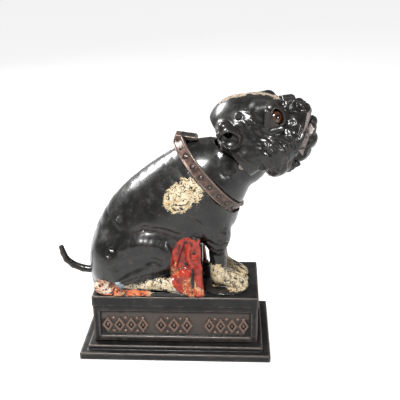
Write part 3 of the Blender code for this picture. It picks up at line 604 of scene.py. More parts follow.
body_strokes = [
    stroke([(-27.6, -33.4, 103.2), (-24.0, -33.4, 104.4), (-20.4, -33.2, 105.8)], 1.7, 4.4),
    stroke([(-52, -29, 76), (-48, -32.5, 85), (-40, -34.5, 95), (-30, -34.5, 102.5)], 2.6, 2.6),
    stroke([(-22, -34.2, 105.4), (-8, -33.5, 103.6), (4, -31.5, 98.5)], 2.6, 2.8),
    stroke([(-43, -36.4, 73.8), (-38, -37.6, 76.6), (-32, -38.5, 79.6), (-24, -39, 82.0), (-14, -38.5, 81.4),
            (-9, -37.5, 79)], 2.2, 3.4),
    stroke([(-44, -34, 66.2), (-34, -37.0, 72.0), (-22, -37.6, 77.5), (-12, -37, 78)], 1.8, -0.5),
    stroke([(-44, -34.5, 57.2), (-36, -34.8, 62.6), (-26, -35.6, 66.2), (-12, -35.6, 68.4), (-3, -34, 67.0)],
           1.7, 3.4),
    stroke([(-38, -36.0, 90), (-24, -38.0, 95.0), (-12, -37.8, 93.4)], 3.2, -0.7),
    stroke([(-1.5, -33.5, 94), (0.2, -32.8, 86), (-0.6, -32.6, 78), (-2.6, -32.4, 71)], 1.8, 2.4),
    stroke([(14.6, -30.4, 85.6), (15.2, -29.9, 83.8), (15.4, -29.6, 82.2)], 1.9, 4.4),
    stroke([(8.0, -31.0, 76.2), (8.6, -30.4, 74.4), (9.4, -30.4, 73.4)], 2.0, 4.2),
    stroke([(5.6, -34.8, 70), (7.4, -35.0, 63), (8.0, -34.6, 57)], 1.1, 1.1),
    stroke([(13.4, -31.5, 75), (14.2, -33.0, 66), (13.5, -33.0, 58), (13.0, -32, 52)], 1.5, 2.2),
    stroke([(0.6, -31, 92), (-1.0, -31.5, 84), (-4.2, -32.5, 75)], 1.2, 1.2),
    stroke([(9.4, -29.6, 92.5), (8.4, -30.2, 85), (6.4, -31.0, 79)], 1.3, 1.3),
    stroke([(5.0, -30.0, 91), (3.4, -30.8, 84), (2.0, -31.4, 79)], 1.2, 0.9),
    stroke([(3.0, -35, 61.0), (6.5, -35.5, 58), (7.2, -35.5, 52)], 1.0, 1.3),
    stroke([(3.5, -30.1, 62), (8.0, -30.2, 60.0), (12.0, -30.0, 54)], 1.0, 1.7),
    stroke([(-46, -34.0, 56.1), (-30, -34.6, 55.9), (-18, -34.4, 55.2)], 0.8, 0.9),
    stroke([(47, -9.2, 58.8), (52.5, -9.3, 56.2), (56.5, -9.3, 52)], 1.0, 1.9),
    stroke([(43, -14.6, 58.4), (48.5, -15.0, 56.4), (52.5, -15.2, 52)], 1.0, 1.9),
    stroke([(38, -18.6, 58.0), (43.0, -19.0, 55.4), (46, -19.4, 51.6)], 1.0, 1.2),
    stroke([(28, -23.0, 101), (33, -24.6, 97.5), (38, -23.5, 97)], 2.2, -0.8),
    stroke([(27, -23.5, 92), (33, -24.0, 89), (39, -21.5, 88)], 2.0, 1.2),
    stroke([(28, -21, 84), (33, -20.5, 81.5), (38.5, -18.5, 81)], 1.6, -0.8),
    stroke([(30, -20.5, 78), (35, -20.5, 76), (40, -18.5, 75)], 1.5, 0.9),
    stroke([(16, -28.5, 112), (20, -29.2, 105), (20, -28.5, 97.5)], 2.6, 1.4),
    rivet_ring(*REAR_RIVET, -22.6),
    ruffle(blob((34, -22, 84), (12, 12, 24)), 2.6, 0.45),
    ruffle(blob((40, -6, 150), (14, 24, 14), 40), 4.5, 0.55),
    ruffle(blob((10, -31, 72), (16, 12, 26)), 3.4, 0.55, along=(0.1, 0, 1), longer=3.0),
    ruffle(blob((-14, -34, 60), (30, 12, 8)), 2.6, 0.40, along=(1, 0, 0), longer=2.2),
    ruffle(blob((46, -12, 57), (14, 12, 10)), 2.0, 0.45, along=(0.8, 0, -0.5), longer=2.5),
    ruffle(everywhere, 14.0, 0.40)]
body_strokes += combed((-51.5, -31.0, 50.0), (25, 170), 15, 11.5, 0.75, 1.2, 5)
print("body strokes:", len(body_strokes))

# %% [markdown]
# Paint is given to each corner as a number: how many millimetres inside the painted patch it lies. The material
# turns the number into a ragged edge later.

# %% Body: paint
TOE_LINES = [((44, -8.4, 59.0), (55.0, -8.0, 51.5)), ((41, -13.2, 58.0), (52.5, -14.0, 51.5)),
             ((47, -4.6, 60.0), (55.0, -3.9, 54.0)), ((47, -6.4, 60.0), (55.4, -6.0, 53.0)),
             ((45, -10.2, 60.0), (54.6, -10.4, 53.4)), ((45, -12.0, 59.0), (54.0, -12.2, 52.6)),
             ((40, -15.6, 58.0), (49.8, -16.0, 53.2)), ((39, -18.0, 57.0), (48.6, -18.0, 52.0)),
             ((34, -19.5, 55.0), (42.0, -20.0, 52.0))]


def toe_line(a, b):
    """A thin dark line along a toe."""
    line = bar(a, b, 1.0, 0.75)
    return lambda p: 0.2 - line(p)


def front_skirt(p):
    """The low flat foot of the casting round the front paws."""
    return np.minimum(DECK_TOP + 1.5 - p[:, 2], p[:, 0] - 22.0)


body_paints = {
    "cream": any_of(blob((5.5, -30, 129.5), (14.0, 16, 10.5), 44), blob((12, -30, 134), (11, 16, 10), 30),
                    blob((-9, -36, 60.6), (18, 14, 5.0), 3), blob((-27, -36, 58.2), (13, 12, 3.4), 3),
                    blob((3, -33, 57), (9.5, 9, 6.0)), blob((46, -12, 56), (13, 16, 9.5), -35),
                    blob((31.5, -14, 62), (8.5, 14, 10.5), 4)),
    # The blue patch is blue-black paint on two small marks in front of the hind foot; at the heel it is partly
    # a painted highlight, its pale grey standing in for the heel's grey-blue sheen.
    "blue_and_heel_highlight": any_of(blob((-41.5, -35, 59.5), (4.6, 9, 3.8)), blob((6.5, -36, 53), (5.4, 7, 2.6)),
                   blob((2.0, -36, 56.8), (2.6, 5, 2.0))),
    "red": any_of(blob((10, -31, 74), (14.0, 13, 24)), blob((19, -29, 70), (5.6, 10, 27))),
    "orange": any_of(blob((-0.5, -34, 69.0), (5.0, 8, 4.0), 25), blob((-31.5, -33, 52.4), (14.5, 6, 4.0)),
                     blob((14.5, -33, 53.5), (8.0, 6, 5.0)), blob((-51, -28, 54.5), (12, 9, 8.5)),
                     blob((11, -33, 60), (5.0, 7, 6.0)), blob((0.5, -33, 72), (3.6, 8, 7.0))),
    "white": blob((-54.5, -30, 56), (8.5, 9, 6.5)),
    # The dark patch is mostly painted shade: black in the drapery's two holes, in the crack between its folds,
    # in the groove by the knee and along the bottom of the hind foot by the deck. It also draws black lines in
    # the grooves along the toes and blackens the low foot round the front paws.
    "dark": any_of(*[toe_line(a, b) for a, b in TOE_LINES], front_skirt,
                   blob((-6.5, -34, 51.0), (12.5, 6, 2.8)), blob((14.0, -31, 63), (1.5, 7, 12)),
                   blob((8.6, -30.8, 74.8), (2.2, 5, 2.4)), blob((15.0, -30, 83.8), (2.0, 4, 2.4)),
                   blob((-4.5, -34, 77), (2.4, 8, 8), 12))}
body_skins = sculpt("body_skin", body_field, (-74, -41.5, 48.5), (74, 1.5, 177), 0.85, base_frame, "bank",
                    body_paints, body_strokes, mirror=True)
for half, node in zip(body_skins, ("body_right_half", "body_left_half")):
    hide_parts(node)
print("body from", [round(x, 3) for x in np.min([v.co for v in body_skins[0].data.vertices], axis=0)])

# %% [markdown]
# The head is also two shells. It has the loose folds of an old bulldog: rings of wrinkles behind the eye, a
# heavy brow, a short split nose and long upper lips, with an ear folded into a little tube.

# %% Head: shell
JAW_PIN, HEAD_RIVET, WIRE_HOOK = (23, -12), (20, 29), (24, -24)
MOUTH_HALF, THROAT_HALF = 15.9, 11
LIP = [(72.0, -1.0), (58.5, -6.6), (49.0, -10.9), (39.7, -15.6), (33.0, -21.5)]
skull = [("add", egg((13, 0, 14), (26.5, 27, 28)), 0),
         ("add", egg((29, 0, 9.5), (19, 25, 24)), 4),
         ("add", egg((3, -21, 2), (13, 9.5, 13)), 3),
         ("add", bar((33, -15, 21), (40, -17.5, 18.6), 8, 6.4), 3),
         ("add", bar((40, -5, 13), (47, -4.5, 10), 10, 7), 3),
         ("add", bar((49, -3.5, 8.5), (55, -3.5, -1), 6.5, 5.5, 1.1), 2),
         ("add", egg((46, -12, -3), (9, 10, 10)), 3),
         ("add", egg((38, -14, -10), (14, 12, 12)), 4),
         ("add", egg((22, -19, -6), (16, 12, 15)), 4),
         ("add", egg((20, -16, -18.5), (11, 9.5, 7.4)), 3),
         ("add", bar((14, -9, -17.5), (29, -10, -20.5), 7.4, 5.6), 2),
         ("add", bar((49.5, -4.5, 12.2), (54.0, -4.5, 10.6), 4.4, 3.6, 1.3), 1.0),
         ("add", egg((57.5, -5.0, 3.5), (3.4, 4.6, 4.4)), 1.5),
         ("add", bar((58.6, -4.0, -1.6), (53.0, -13.0, -3.4), 3.7, 3.6), 2.0),
         ("add", bar((24, -13, -24.5), (31.0, -14, -26.2), 5.0, 3.2), 2.0),
         ("add", bar((12, -10, -22.0), (24, -11, -25.0), 4.6, 4.2), 2.0),
         ("add", bar((6, -16, 22), (6.4, -25, 23), 8.6, 7.4), 2.5),
         ("add", bar((6, -20, 28), (7.5, -25, 30), 6.4, 4.6), 2.5),
         ("add", egg((5.8, -27.2, 22.4), (9.8, 6.0, 8.0), -39), 1.2)]
mouth_room = [("cut", outline(LIP + [(33.0, -60.0), (72.0, -60.0)], -FAR, FAR), 0.5)]
for half, corners in (
        (MOUTH_HALF, [(60.0, -5.0), (40.0, -12.0), (40.0, -60.0), (60.0, -60.0)]),
        (MOUTH_HALF, [(38, -6), (40, -12), (40, -60), (2, -60), (2, -14), (8, -6)]),
        (THROAT_HALF, [(24, 2), (42, -3.5), (42, -20), (24, -20)]),
        (THROAT_HALF, [(42, -3.5), (53.5, -3), (53.5, -20), (42, -20)])):
    mouth_room.append(("cut", outline(corners, -half, half), 0.4))
EYE = (38.5, -18.6, 12.0)
EYE_R = 6.0
LOOKS = np.array([0.56, -0.826, 0.06], np.float32)
lids = [("add", egg((39.0, -20.2, 12.0), (8.0, 5.6, 9.0), 6), 2.0),
        ("add", bar((31.0, -23.6, 12.0), (38.0, -24.4, 19.4), 2.4, 2.3), 1.6),
        ("add", bar((31.6, -23.8, 6.6), (39.0, -24.0, 3.6), 2.0, 1.9), 1.6)]


def eye_opening(p):
    """The upright slot between the lids, seen along the eye's own axis."""
    half_wide, half_high, cos, sin = 3.7, 5.7, 0.94, 0.34
    across = np.array([-LOOKS[1], LOOKS[0], 0.0], np.float32)
    q = p - np.array(EYE, np.float32)
    far = q @ LOOKS
    wide, high = q @ across, q[:, 2] - LOOKS[2] * far
    u, v = wide * cos - high * sin, wide * sin + high * cos
    return np.maximum((np.hypot(u / half_wide, v / half_high) - 1.0) * half_wide, -far)


SOCKET = EYE_R + 0.15
head_fittings = [("cut", egg((0, 0, 0), (22.7, 20.1, 22.7)), 0.4),
                 ("cut", bar((6, 0, 1), (32, 0, 5), 20.5, 13, 0.85), 0),
                 ("cut", slab((-FAR, -FAR, -FAR), (0, FAR, FAR)), 0.5)] + mouth_room
head_fittings += [("cut", egg(EYE, (SOCKET, SOCKET, SOCKET)), 0.1),
                  ("cut", bar(EYE, (30, -6, 6), 5.3, 5.3), 0.2), ("cut", eye_opening, 0.7),
                  ("cut", bore(0, 0, 2.8, -26.3, FAR), 0),
                  ("cut", bore(*JAW_PIN, RIVET_HOLE, -20.3, FAR), 0),
                  ("cut", bore(*HEAD_RIVET, RIVET_HOLE, -FAR, FAR), 0),
                  ("cut", egg((5.4, -33.6, 21.8), (7.9, 7.0, 6.2), -39), 0.5),
                  ("cut", bar((7.4, -34, 24.6), (7.0, -24, 24.6), 3.0, 2.4), 0.8),
                  ("keep", side_of((0, -0.12, 0), (0, 1, 0)), 0.25)]
head_field = press(skull + lids + head_fittings)
print("head lumps:", len(skull + lids), "fittings:", len(head_fittings))

# %% Head: wrinkles, lips and hair
head_strokes = [
    stroke([(10.5, -25.8, 33), (15, -26.4, 30), (19.2, -26.4, 24), (19.6, -27.5, 17.5)], 1.4, 1.7),
    stroke([(14.8, -23.5, 35), (19.6, -23.6, 32), (23.6, -24.2, 26), (23.8, -26.0, 19), (21.5, -27.6, 14.5)],
           1.3, 1.8),
    stroke([(21.2, -21.4, 34), (25.8, -21.6, 30), (28.2, -22.6, 24), (27.8, -24.6, 18.5)], 1.2, 1.6),
    stroke([(12.6, -24.6, 34.2), (17.4, -25.0, 31), (21.4, -25.4, 25), (21.6, -26.8, 18)], 1.2, -1.1),
    stroke([(18.4, -22.6, 34.8), (22.8, -22.8, 31.4), (26.0, -23.4, 25.2), (26.2, -25.2, 19)], 1.1, -1.1),
    stroke([(23.4, -25.8, 21), (25.8, -24.9, 22.6), (27.0, -25.0, 20), (25.0, -26.4, 17.6)], 0.9, 1.2),
    stroke([(28.0, -24.6, 18.5), (27.0, -25.6, 12), (29.0, -26.6, 6)], 1.1, 1.5),
    stroke([(31, -24.2, 25.6), (37, -25.6, 25.2), (43.6, -21.6, 23.6)], 1.2, 1.3),
    stroke([(49.4, -16, 16.5), (48.6, -12.5, 14.8), (48.0, -8, 15.2), (48.0, -2, 16.0)], 1.5, 2.6),
    stroke([(45.4, -18.0, 13), (48.4, -14.6, 9.5), (51.0, -12.0, 4.4)], 1.2, 1.5),
    stroke([(56.0, -9.4, 10.6), (55.2, -9.2, 6.0), (56.6, -9.4, 1.2)], 1.0, 1.4),
    stroke([(55.4, -1, 10.8), (55.8, -5, 9.6), (56.2, -9.0, 7.6)], 0.9, 1.2),
    stroke([(59.6, -7.4, 2.2), (60.4, -5.8, 2.8), (60.8, -4.0, 2.2)], 1.0, 1.7),
    stroke([(61, -0.8, 9), (61.6, -0.6, 3), (60.8, -0.6, -4)], 0.9, 1.2),
    stroke([(34.2, -26.4, 1.0), (37.0, -25.8, -2.0), (38.6, -25.8, -6.0), (37.4, -25.6, -11)], 1.2, 1.5),
    stroke([(30.4, -27.6, 4.0), (32.4, -27.8, 0.0), (33.4, -27.6, -5.0), (32.0, -26.8, -11.0)], 1.2, 1.6),
    stroke([(32.6, -27.0, 3.2), (34.9, -26.8, -0.8), (36.0, -26.6, -5.6), (34.8, -26.0, -11.0)], 1.0, -1.2),
    stroke([(36.6, -25.8, 1.0), (40.0, -25.0, -3.0), (40.4, -24.8, -8.0)], 1.0, -1.1),
    stroke([(41.0, -24.0, 2.0), (43.2, -22.8, -2.6), (42.6, -23.4, -7.4)], 1.1, 1.3),
    stroke([(45.6, -20.6, 3.6), (48.0, -19.6, -1.4), (48.0, -20.2, -6.0)], 1.1, 1.3),
    stroke([(52.0, -12.6, 3.0), (53.6, -13.2, -1.4), (53.0, -15.0, -4.4)], 1.1, 1.1),
    stroke([(61.5, -9.5, -3.0), (57.0, -14.6, -3.4), (50.0, -21.6, -6.4), (43.0, -24.6, -10.0),
            (36.4, -24.4, -15.0)], 1.0, 1.5),
    stroke([(60.0, -8.6, -4.8), (54.0, -16.6, -6.0), (46.0, -22.6, -9.8), (38.6, -24.4, -14.2)], 1.1, -1.3),
    stroke([(2.4, -31, 10.5), (8.5, -31.5, 12.6), (14.5, -29.5, 16.0), (17.0, -28, 21.0)], 1.5, 1.6),
    stroke([(1.6, -33, 4.0), (8.0, -33.5, 5.0), (14.0, -31.8, 8.0)], 1.5, 0.9),
    stroke([(14.0, -30.2, 10.6), (19.5, -29.2, 5.2), (20.8, -29.6, -3.0)], 1.5, 1.4),
    stroke([(22.0, -28.4, 12.0), (25.5, -28.0, 5.0), (25.0, -28.6, -3.0)], 1.4, 1.3),
    stroke([(2.2, -31.6, -4.0), (8.0, -32.4, -6.5), (14.0, -31.8, -5.0)], 1.3, 1.1),
    stroke([(3.0, -27.5, 27.0), (1.5, -24.5, 32.5), (2.5, -20.5, 36.5)], 1.3, 1.2)]
head_strokes += [stroke(ring((5.6, -31.4, 21.8), (0.02, -1, -0.1), 8.6, squash=0.8, count=20), 0.8, -0.5)]
hair = np.random.RandomState(3)
JOWL_TUFTS = [(9, -10), (13, -13.5), (18, -12.5), (23, -13.5), (28, -12), (16, -18.5), (21, -19.5), (26, -19),
              (11, -18), (30, -17), (33, -13), (35, -18), (38, -14), (31, -7), (6, -14), (20, -6), (26, -8)]
CHIN_HAIR = [(10, -20), (13, -22), (16.3, -23), (19.5, -23.6), (22.8, -23.8), (26, -23.5), (29.5, -22.5),
             (33, -20.5)]
for u, v in JOWL_TUFTS:
    for _ in range(4):
        root = np.array([u + 4.0 * hair.rand() - 2.0, -27.5, v + 4.0 * hair.rand() - 2.0])
        way = np.array([-2.4, 1.2, -3.8]) * (0.8 + 0.6 * hair.rand())
        bend = root + way * 0.5 + np.array([0.5, 0, 0])
        head_strokes.append(stroke([tuple(root), tuple(bend), tuple(root + way)], 0.8, 1.1))
head_strokes += [stroke([(u, -18.0, v), (u - 1.6, -17.0, v - 6.5)], 0.95, 2.6) for u, v in CHIN_HAIR]
head_strokes += [
    ruffle(blob((24, -26, -12), (19, 12, 13)), 2.6, 1.0, along=(-0.5, 0.2, -0.85), longer=3.2),
    ruffle(blob((23, -25, 18), (12, 10, 17)), 3.2, 0.75, along=(0.5, 0, -0.8), longer=1.6, shift=3),
    ruffle(blob((47, -14, -1), (15, 15, 12)), 3.2, 0.4, along=(0.3, 0, -0.9), longer=3.0, shift=5),
    ruffle(blob((52, -5, 10), (10, 10, 8)), 2.6, 0.25, shift=9),
    ruffle(blob((14, -31, 2), (16, 12, 14)), 3.0, 0.5, along=(0.2, 0, -1), longer=1.8, shift=2)]
print("head strokes:", len(head_strokes))

# %% Head: paint and skin
head_paints = {
    "stripe": any_of(blob((30, 0, 42), (19, 6.6, 9)), blob((43, 0, 29), (10, 5.6, 11)),
                     blob((47.5, -3, 20.0), (2.8, 6, 5.0), -30)),
    "gum": blob((47, -9, -9.0), (20, 13.0, 2.6), 24)}
head_skins = sculpt("head_skin", head_field, (-1.5, -37, -32), (64.5, 1.5, 45), 0.58, head_frame, "head",
                    head_paints, head_strokes, mirror=True)
for half, node in zip(head_skins, ("head_right_half", "head_left_half")):
    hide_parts(node)

# %% [markdown]
# The eyes are balls let into the head: dark amber round the pupil, with a wet shine.

# %% Eyes
for side, word in ((1, "right"), (-1, "left")):
    mesh = bpy.data.meshes.new("eye_ball")
    bm = bmesh.new()
    bmesh.ops.create_uvsphere(bm, u_segments=48, v_segments=32, radius=EYE_R)
    bm.transform(head_frame @ Matrix.Translation((EYE[0], EYE[1] * side, EYE[2])))
    bm.to_mesh(mesh)
    bm.free()
    mesh.shade_smooth()
    looks = Vector((float(LOOKS[0]), float(LOOKS[1]) * side, float(LOOKS[2]))).normalized()
    centre = head_frame @ Vector((EYE[0], EYE[1] * side, EYE[2]))
    turned = (head_frame.to_3x3() * 1000.0) @ looks
    off = [math.degrees((v.co - centre).normalized().angle(turned)) for v in mesh.vertices]
    mesh.attributes.new("off_axis", "FLOAT", "POINT").data.foreach_set("value", off)
    eye = bpy.data.objects.new(f"eye_ball_{word}", mesh)
    bpy.context.scene.collection.objects.link(eye)
    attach(eye, "head")
    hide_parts(f"eye_{word}")
print("eyes: amber balls of", EYE_R, "mm")

# %% [markdown]
# The lower jaw is one casting with a trough for the tongue, two ears that turn on the jaw's pin, and a hook on
# its left for the wire that pulls it down.

# %% Lower jaw
JAW_EAR, EAR_RADII = [JAW_PIN, (30, -20), (38, -22.5)], [4.2, 4.0, 3.6]


def above_lip(p):
    """What lies over the lip's line, in the head's frame."""
    line = [(x + 0.4, z - 1.2) for x, z in LIP[:4]]
    over = [side_of((x0, 0, z0), (z0 - z1, 0, x1 - x0))(p) for (x0, z0), (x1, z1) in zip(line, line[1:])]
    behind = np.maximum(-17.6 - p[:, 2], np.maximum(p[:, 0] - 40.5, 24.0 - p[:, 0]))
    return np.minimum(np.maximum(np.min(over, axis=0), 40.5 - p[:, 0]), behind)


jaw_field = press([("add", bar((51, -4, -13.5), (38, -7, -21), 5.6, 6.5), 0),
                   ("add", bar((51, 4, -13.5), (38, 7, -21), 5.6, 6.5), 2),
                   ("add", bar((56.6, 0, -11.0), (51, 0, -14.0), 4.0, 6.0, 1.6), 2),
                   ("add", egg((45, 0, -19.5), (9, 11.5, 7), -22), 2),
                   ("add", egg((36, 0, -25), (9, 11, 6)), 2), ("cut", above_lip, 0.8),
                   ("cut", outline([(56.0, -2), (56.0, -10), (42, -19), (20, -19), (20, 0)], -6.5, 6.5), 0.8),
                   ("add", lever(JAW_EAR, EAR_RADII, -14.9, -11.6), 0.3),
                   ("add", lever(JAW_EAR, EAR_RADII, 11.6, 14.9), 0.3),
                   ("add", lever([(30, -21), WIRE_HOOK], [3.6, 3.4], 11.6, 14.9), 0.3),
                   ("cut", bore(*JAW_PIN, 2.05, -30, 30), 0), ("cut", bore(*WIRE_HOOK, 1.35, 5, 30), 0)])
jaw_strokes = [stroke([(54 - 3.4 * k, side * (9.5 + 0.5 * k), -11.5 - 2.0 * k),
                       (51 - 3.4 * k, side * 10, -19 - 1.6 * k)], 0.9, 1.4)
               for k in range(5) for side in (-1, 1)]
jaw_strokes += [stroke([(61.5, side * 4, -10.5), (56, side * 8.6, -13.0), (48, side * 11.6, -17.5),
                        (40, side * 12, -22)], 1.0, 1.2)
                for side in (-1, 1)]
jaw_strokes.append(ruffle(blob((46, 0, -20), (22, 20, 14)), 2.4, 0.6))


def lip_edge(p):
    """How far a point lies inside the strip of gum along the jaw's upper edge."""
    strip, rear, front = 5.0, 37.0, 55.5
    line = np.interp(p[:, 0], [x for x, z in LIP[::-1]], [z - 2.0 for x, z in LIP[::-1]])
    return np.min([strip - (line - p[:, 2]), front - p[:, 0], p[:, 0] - rear], axis=0)


jaw = sculpt("jaw_skin", jaw_field, (17, -17, -33), (65, 17, -3), 0.6, head_frame, "jaw",
             {"gum": lip_edge}, jaw_strokes)
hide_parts("lower_jaw")

# %% [markdown]
# The collar is a bronze-coloured band with raised rims, studs and a small flap on top.

# %% Collar
STUDS = [side * angle for side in (1, -1) for angle in range(30, 143, 16)]
STUD_UP, STUD_OUT = 35.5, 30.0


def stud_place(angle):
    """Where a stud stands on the band, by its angle from the top."""
    turn = math.radians(angle)
    return collar_up * STUD_UP * math.cos(turn) + np.array([0, -STUD_OUT, 0], np.float32) * math.sin(turn)


collar_steps = [("add", hoop(0.0, 3.1, 4.5, 0.5), 0), ("cut", hoop(2.4, 9.0, 3.1), 0.5)]
for angle in STUDS:
    out = stud_place(angle)
    outward = out / np.linalg.norm(out)
    root, crown = COLLAR_AT + out - outward * 2.0, COLLAR_AT + out - outward * 0.9
    collar_steps.append(("add", bar(root, crown, 1.9, 1.6), 0.3))
top = COLLAR_AT + collar_up * STUD_UP
flap = outline([(top[0] - 3.0, top[2] - 0.2), (top[0] - 1.4, top[2] + 3.6), (top[0] + 14.0, top[2] + 1.6),
                (top[0] + 15.0, top[2] - 0.6)], -6.0, 6.0)
collar_steps.append(("add", flap, 1.0))
stud_spots = [blob(tuple(COLLAR_AT + stud_place(angle)), (2.3, 2.3, 2.3)) for angle in STUDS]
collar_paints = {"stud": any_of(*stud_spots),
                 "rim": lambda p: np.abs((p - COLLAR_AT) @ collar_axis) - 3.15}
collar = sculpt("collar_band", press(collar_steps), (-10, -34, 96), (60, 34, 182), 0.62, base_frame, "bank",
                collar_paints)
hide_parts("collar")

# %% [markdown]
# The tail is the handle: a thin bent rod outside, and a flat lever on its pin inside the body.

# %% Tail
tail_path = [(-61.0, 57.6, 2.7), (-67.7, 55.9, 2.9), (-76.0, 57.0, 2.9), (-83.5, 60.0, 2.8), (-88.6, 64.5, 2.6),
             (-91.0, 70.0, 2.4), (-92.2, 75.2, 2.1)]
rod_foot = (Vector(joints["rod_foot"]["pos_m"]) - base_middle) * 1000.0
ROD_EYE = (rod_foot.x, rod_foot.z)
tail_steps = [("add", lever([TAIL_PIN, ROD_EYE], [5.0, 3.4], -2.0, 2.0), 0),
              ("add", lever([TAIL_PIN, (-62.0, 57.2)], [4.4, 2.7], -2.0, 2.0), 0.4)]
for (x0, z0, r0), (x1, z1, r1) in zip(tail_path, tail_path[1:]):
    tail_steps.append(("add", bar((x0, 0, z0), (x1, 0, z1), r0, r1), 0.8))
tail_steps += [("cut", bore(*TAIL_PIN, 2.25, -5, 5), 0), ("cut", bore(*ROD_EYE, 1.35, -5, 5), 0)]
tail = sculpt("tail", press(tail_steps), (-97, -6, 49), (-22, 6, 79), 0.5, base_frame, "tail")
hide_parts("tail_lever")

# %% [markdown]
# The money box is a rectangular casting with a sunk panel on each long side, a band under the deck and soft
# worn edges. The same fields give its rounded corners, which a sharp block would not have.

# %% Money box
box_low, box_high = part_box("base_box")
LENGTH, WIDTH = (box_high.x - box_low.x) * 1000, (box_high.y - box_low.y) * 1000
LOW, DECK = box_low.z * 1000, box_high.z * 1000
BAND = 40.3
PANEL_HALF, PANEL_LOW, PANEL_HIGH, PANEL_DEPTH = 58.0, 12.5, 36.0, 1.6
BASE_SCREW = (57, 25.8)


def mirrored_four(shape):
    """A shape of one quarter, standing in all four."""
    return lambda p: shape(p * np.array([0, 0, 1], np.float32) + np.abs(p) * np.array([1, 1, 0], np.float32))


face = WIDTH / 2 - 0.5
box_steps = [("add", slab((-LENGTH / 2 + 0.5, -face, LOW), (LENGTH / 2 - 0.5, face, DECK - 0.6), 0.8), 0),
             ("add", slab((-LENGTH / 2, -WIDTH / 2, BAND), (LENGTH / 2, WIDTH / 2, DECK), 0.9), 0.8),
             ("cut", slab((-LENGTH / 2 + 3.7, -face + WALL, LOW - 9),
                          (LENGTH / 2 - 3.7, face - WALL, DECK - 3), 0.6), 0.3),
             ("cut", mirrored_four(slab((-PANEL_HALF, face - PANEL_DEPTH, PANEL_LOW),
                                        (PANEL_HALF, face + 9, PANEL_HIGH), 0.2)), 0.7),
             ("add", mirrored_four(slab((53.0, 21.8, LOW), (LENGTH / 2 - 2, WIDTH / 2 - 2.5, 30), 0.4)), 0.4),
             ("cut", mirrored_four(drop(*BASE_SCREW, SCREW_HOLE, LOW - 1, 24)), 0),
             ("cut", slab((-6, -12, 40), (15, 12, 60), 0.2), 0.4)]
for x, y in DECK_SCREWS:
    box_steps += [("cut", drop(x, side * y, SCREW_HOLE, 40, 60), 0) for side in (-1, 1)]
sill = bar((0.6 - PANEL_HALF, face - 1.1, 13.4), (PANEL_HALF - 0.6, face - 1.1, 13.4), 1.35, 1.35)
box_steps.append(("add", mirrored_four(sill), 0.3))
casting_skin = [ruffle(everywhere, 9.0, 0.14), ruffle(everywhere, 2.6, 0.07, shift=4)]
box_casting = sculpt("box_casting", press(box_steps), (-65.5, -34, 8.8), (65.5, 34, 50.2), 0.85, base_frame,
                     "bank", strokes=casting_skin)
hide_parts("base_box")

# %% [markdown]
# Each panel carries a plain relief of lozenges and beads in three groups, its high places rubbed to copper by
# hands. It is cast with the wall.

# %% Panel relief
relief_steps = []
MIDDLE, LOZENGE_HALF = 24.2, 6.6


def lozenge(x, half_x, size):
    """The four corners of a lozenge, at some part of its full size."""
    return [(x - half_x * size, MIDDLE), (x, MIDDLE + LOZENGE_HALF * size), (x + half_x * size, MIDDLE),
            (x, MIDDLE - LOZENGE_HALF * size)]


for left, right, count in ((-57.0, -20.5, 4), (-16.0, 14.0, 3), (22.0, 57.0, 4)):
    pitch = (right - left) / count
    for k in range(count):
        x = left + pitch * (k + 0.5)
        half_x = pitch * 0.47
        relief_steps += [("add", outline(lozenge(x, half_x, 1.0), face - PANEL_DEPTH - 0.7, face + 0.2), 0.4),
                         ("cut", outline(lozenge(x, half_x, 0.5), face - 1.2, face + 3), 0.4),
                         ("add", egg((x, face - 1.1, MIDDLE), (1.2, 1.3, 1.7)), 0.2)]
        for z in (MIDDLE - LOZENGE_HALF + 0.9, MIDDLE + LOZENGE_HALF - 0.9):
            if k < count - 1:
                relief_steps.append(("add", egg((x + pitch / 2, face - 1.3, z), (1.5, 1.4, 1.3)), 0.5))
            else:
                relief_steps.append(("add", egg((x, face - 0.9, z), (1.3, 1.2, 1.3)), 0.3))
relief_steps.append(("keep", side_of((0, face - PANEL_DEPTH - 0.4, 0), (0, -1, 0)), 0))
relief_field = press(relief_steps)
for side, word in ((-1, "right"), (1, "left")):
    flip = np.array([-side, side, 1], np.float32)
    near, far = sorted((side * 28, side * 34))
    sculpt(f"panel_relief_{word}", lambda p, flip=flip: relief_field(p * flip), (-59, near, 15.5),
           (59, far, 33), 0.5, base_frame, "bank", strokes=[ruffle(everywhere, 1.6, 0.22)])

# %% [markdown]
# Under the box is a stepped plinth, hollow below, with the hole of the coin trap. Its edges are the most worn.

# %% Plinth
plinth_size = (plinth_high - plinth_low) * 1000.0
HALF_X, HALF_Y = plinth_size.x / 2, plinth_size.y / 2
TRAP_HOLE, TRAP_RIVET = 14, (-12, -17)
plinth_steps = [("add", slab((-HALF_X, -HALF_Y, 0), (HALF_X, HALF_Y, 6.0), 1.1), 0),
                ("add", slab((-67.5, -38.5, 3.0), (67.5, 38.5, 9.5), 0.9), 0.9),
                ("cut", slab((-HALF_X + 7, -HALF_Y + 7, -9), (HALF_X - 7, HALF_Y - 7, 4.5), 0.5), 0.4),
                ("cut", drop(0, 0, TRAP_HOLE, -5, 20), 0.3), ("cut", drop(*TRAP_RIVET, RIVET_HOLE, -5, 8.0), 0),
                ("cut", mirrored_four(drop(*BASE_SCREW, SCREW_HOLE, -5, 20)), 0)]
plinth = sculpt("plinth_casting", press(plinth_steps), (-HALF_X - 1.5, -HALF_Y - 1.5, -1.5),
                (HALF_X + 1.5, HALF_Y + 1.5, 11), 0.85, base_frame, "bank",
                strokes=[ruffle(lambda p: everywhere(p) * (p[:, 2] > 1.5), 7.0, 0.14)])
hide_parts("base_plate")

# %% [markdown]
# Finishes are mixed in the shader from noise and from the numbers that each corner carries. A few small
# helpers keep the node trees readable.

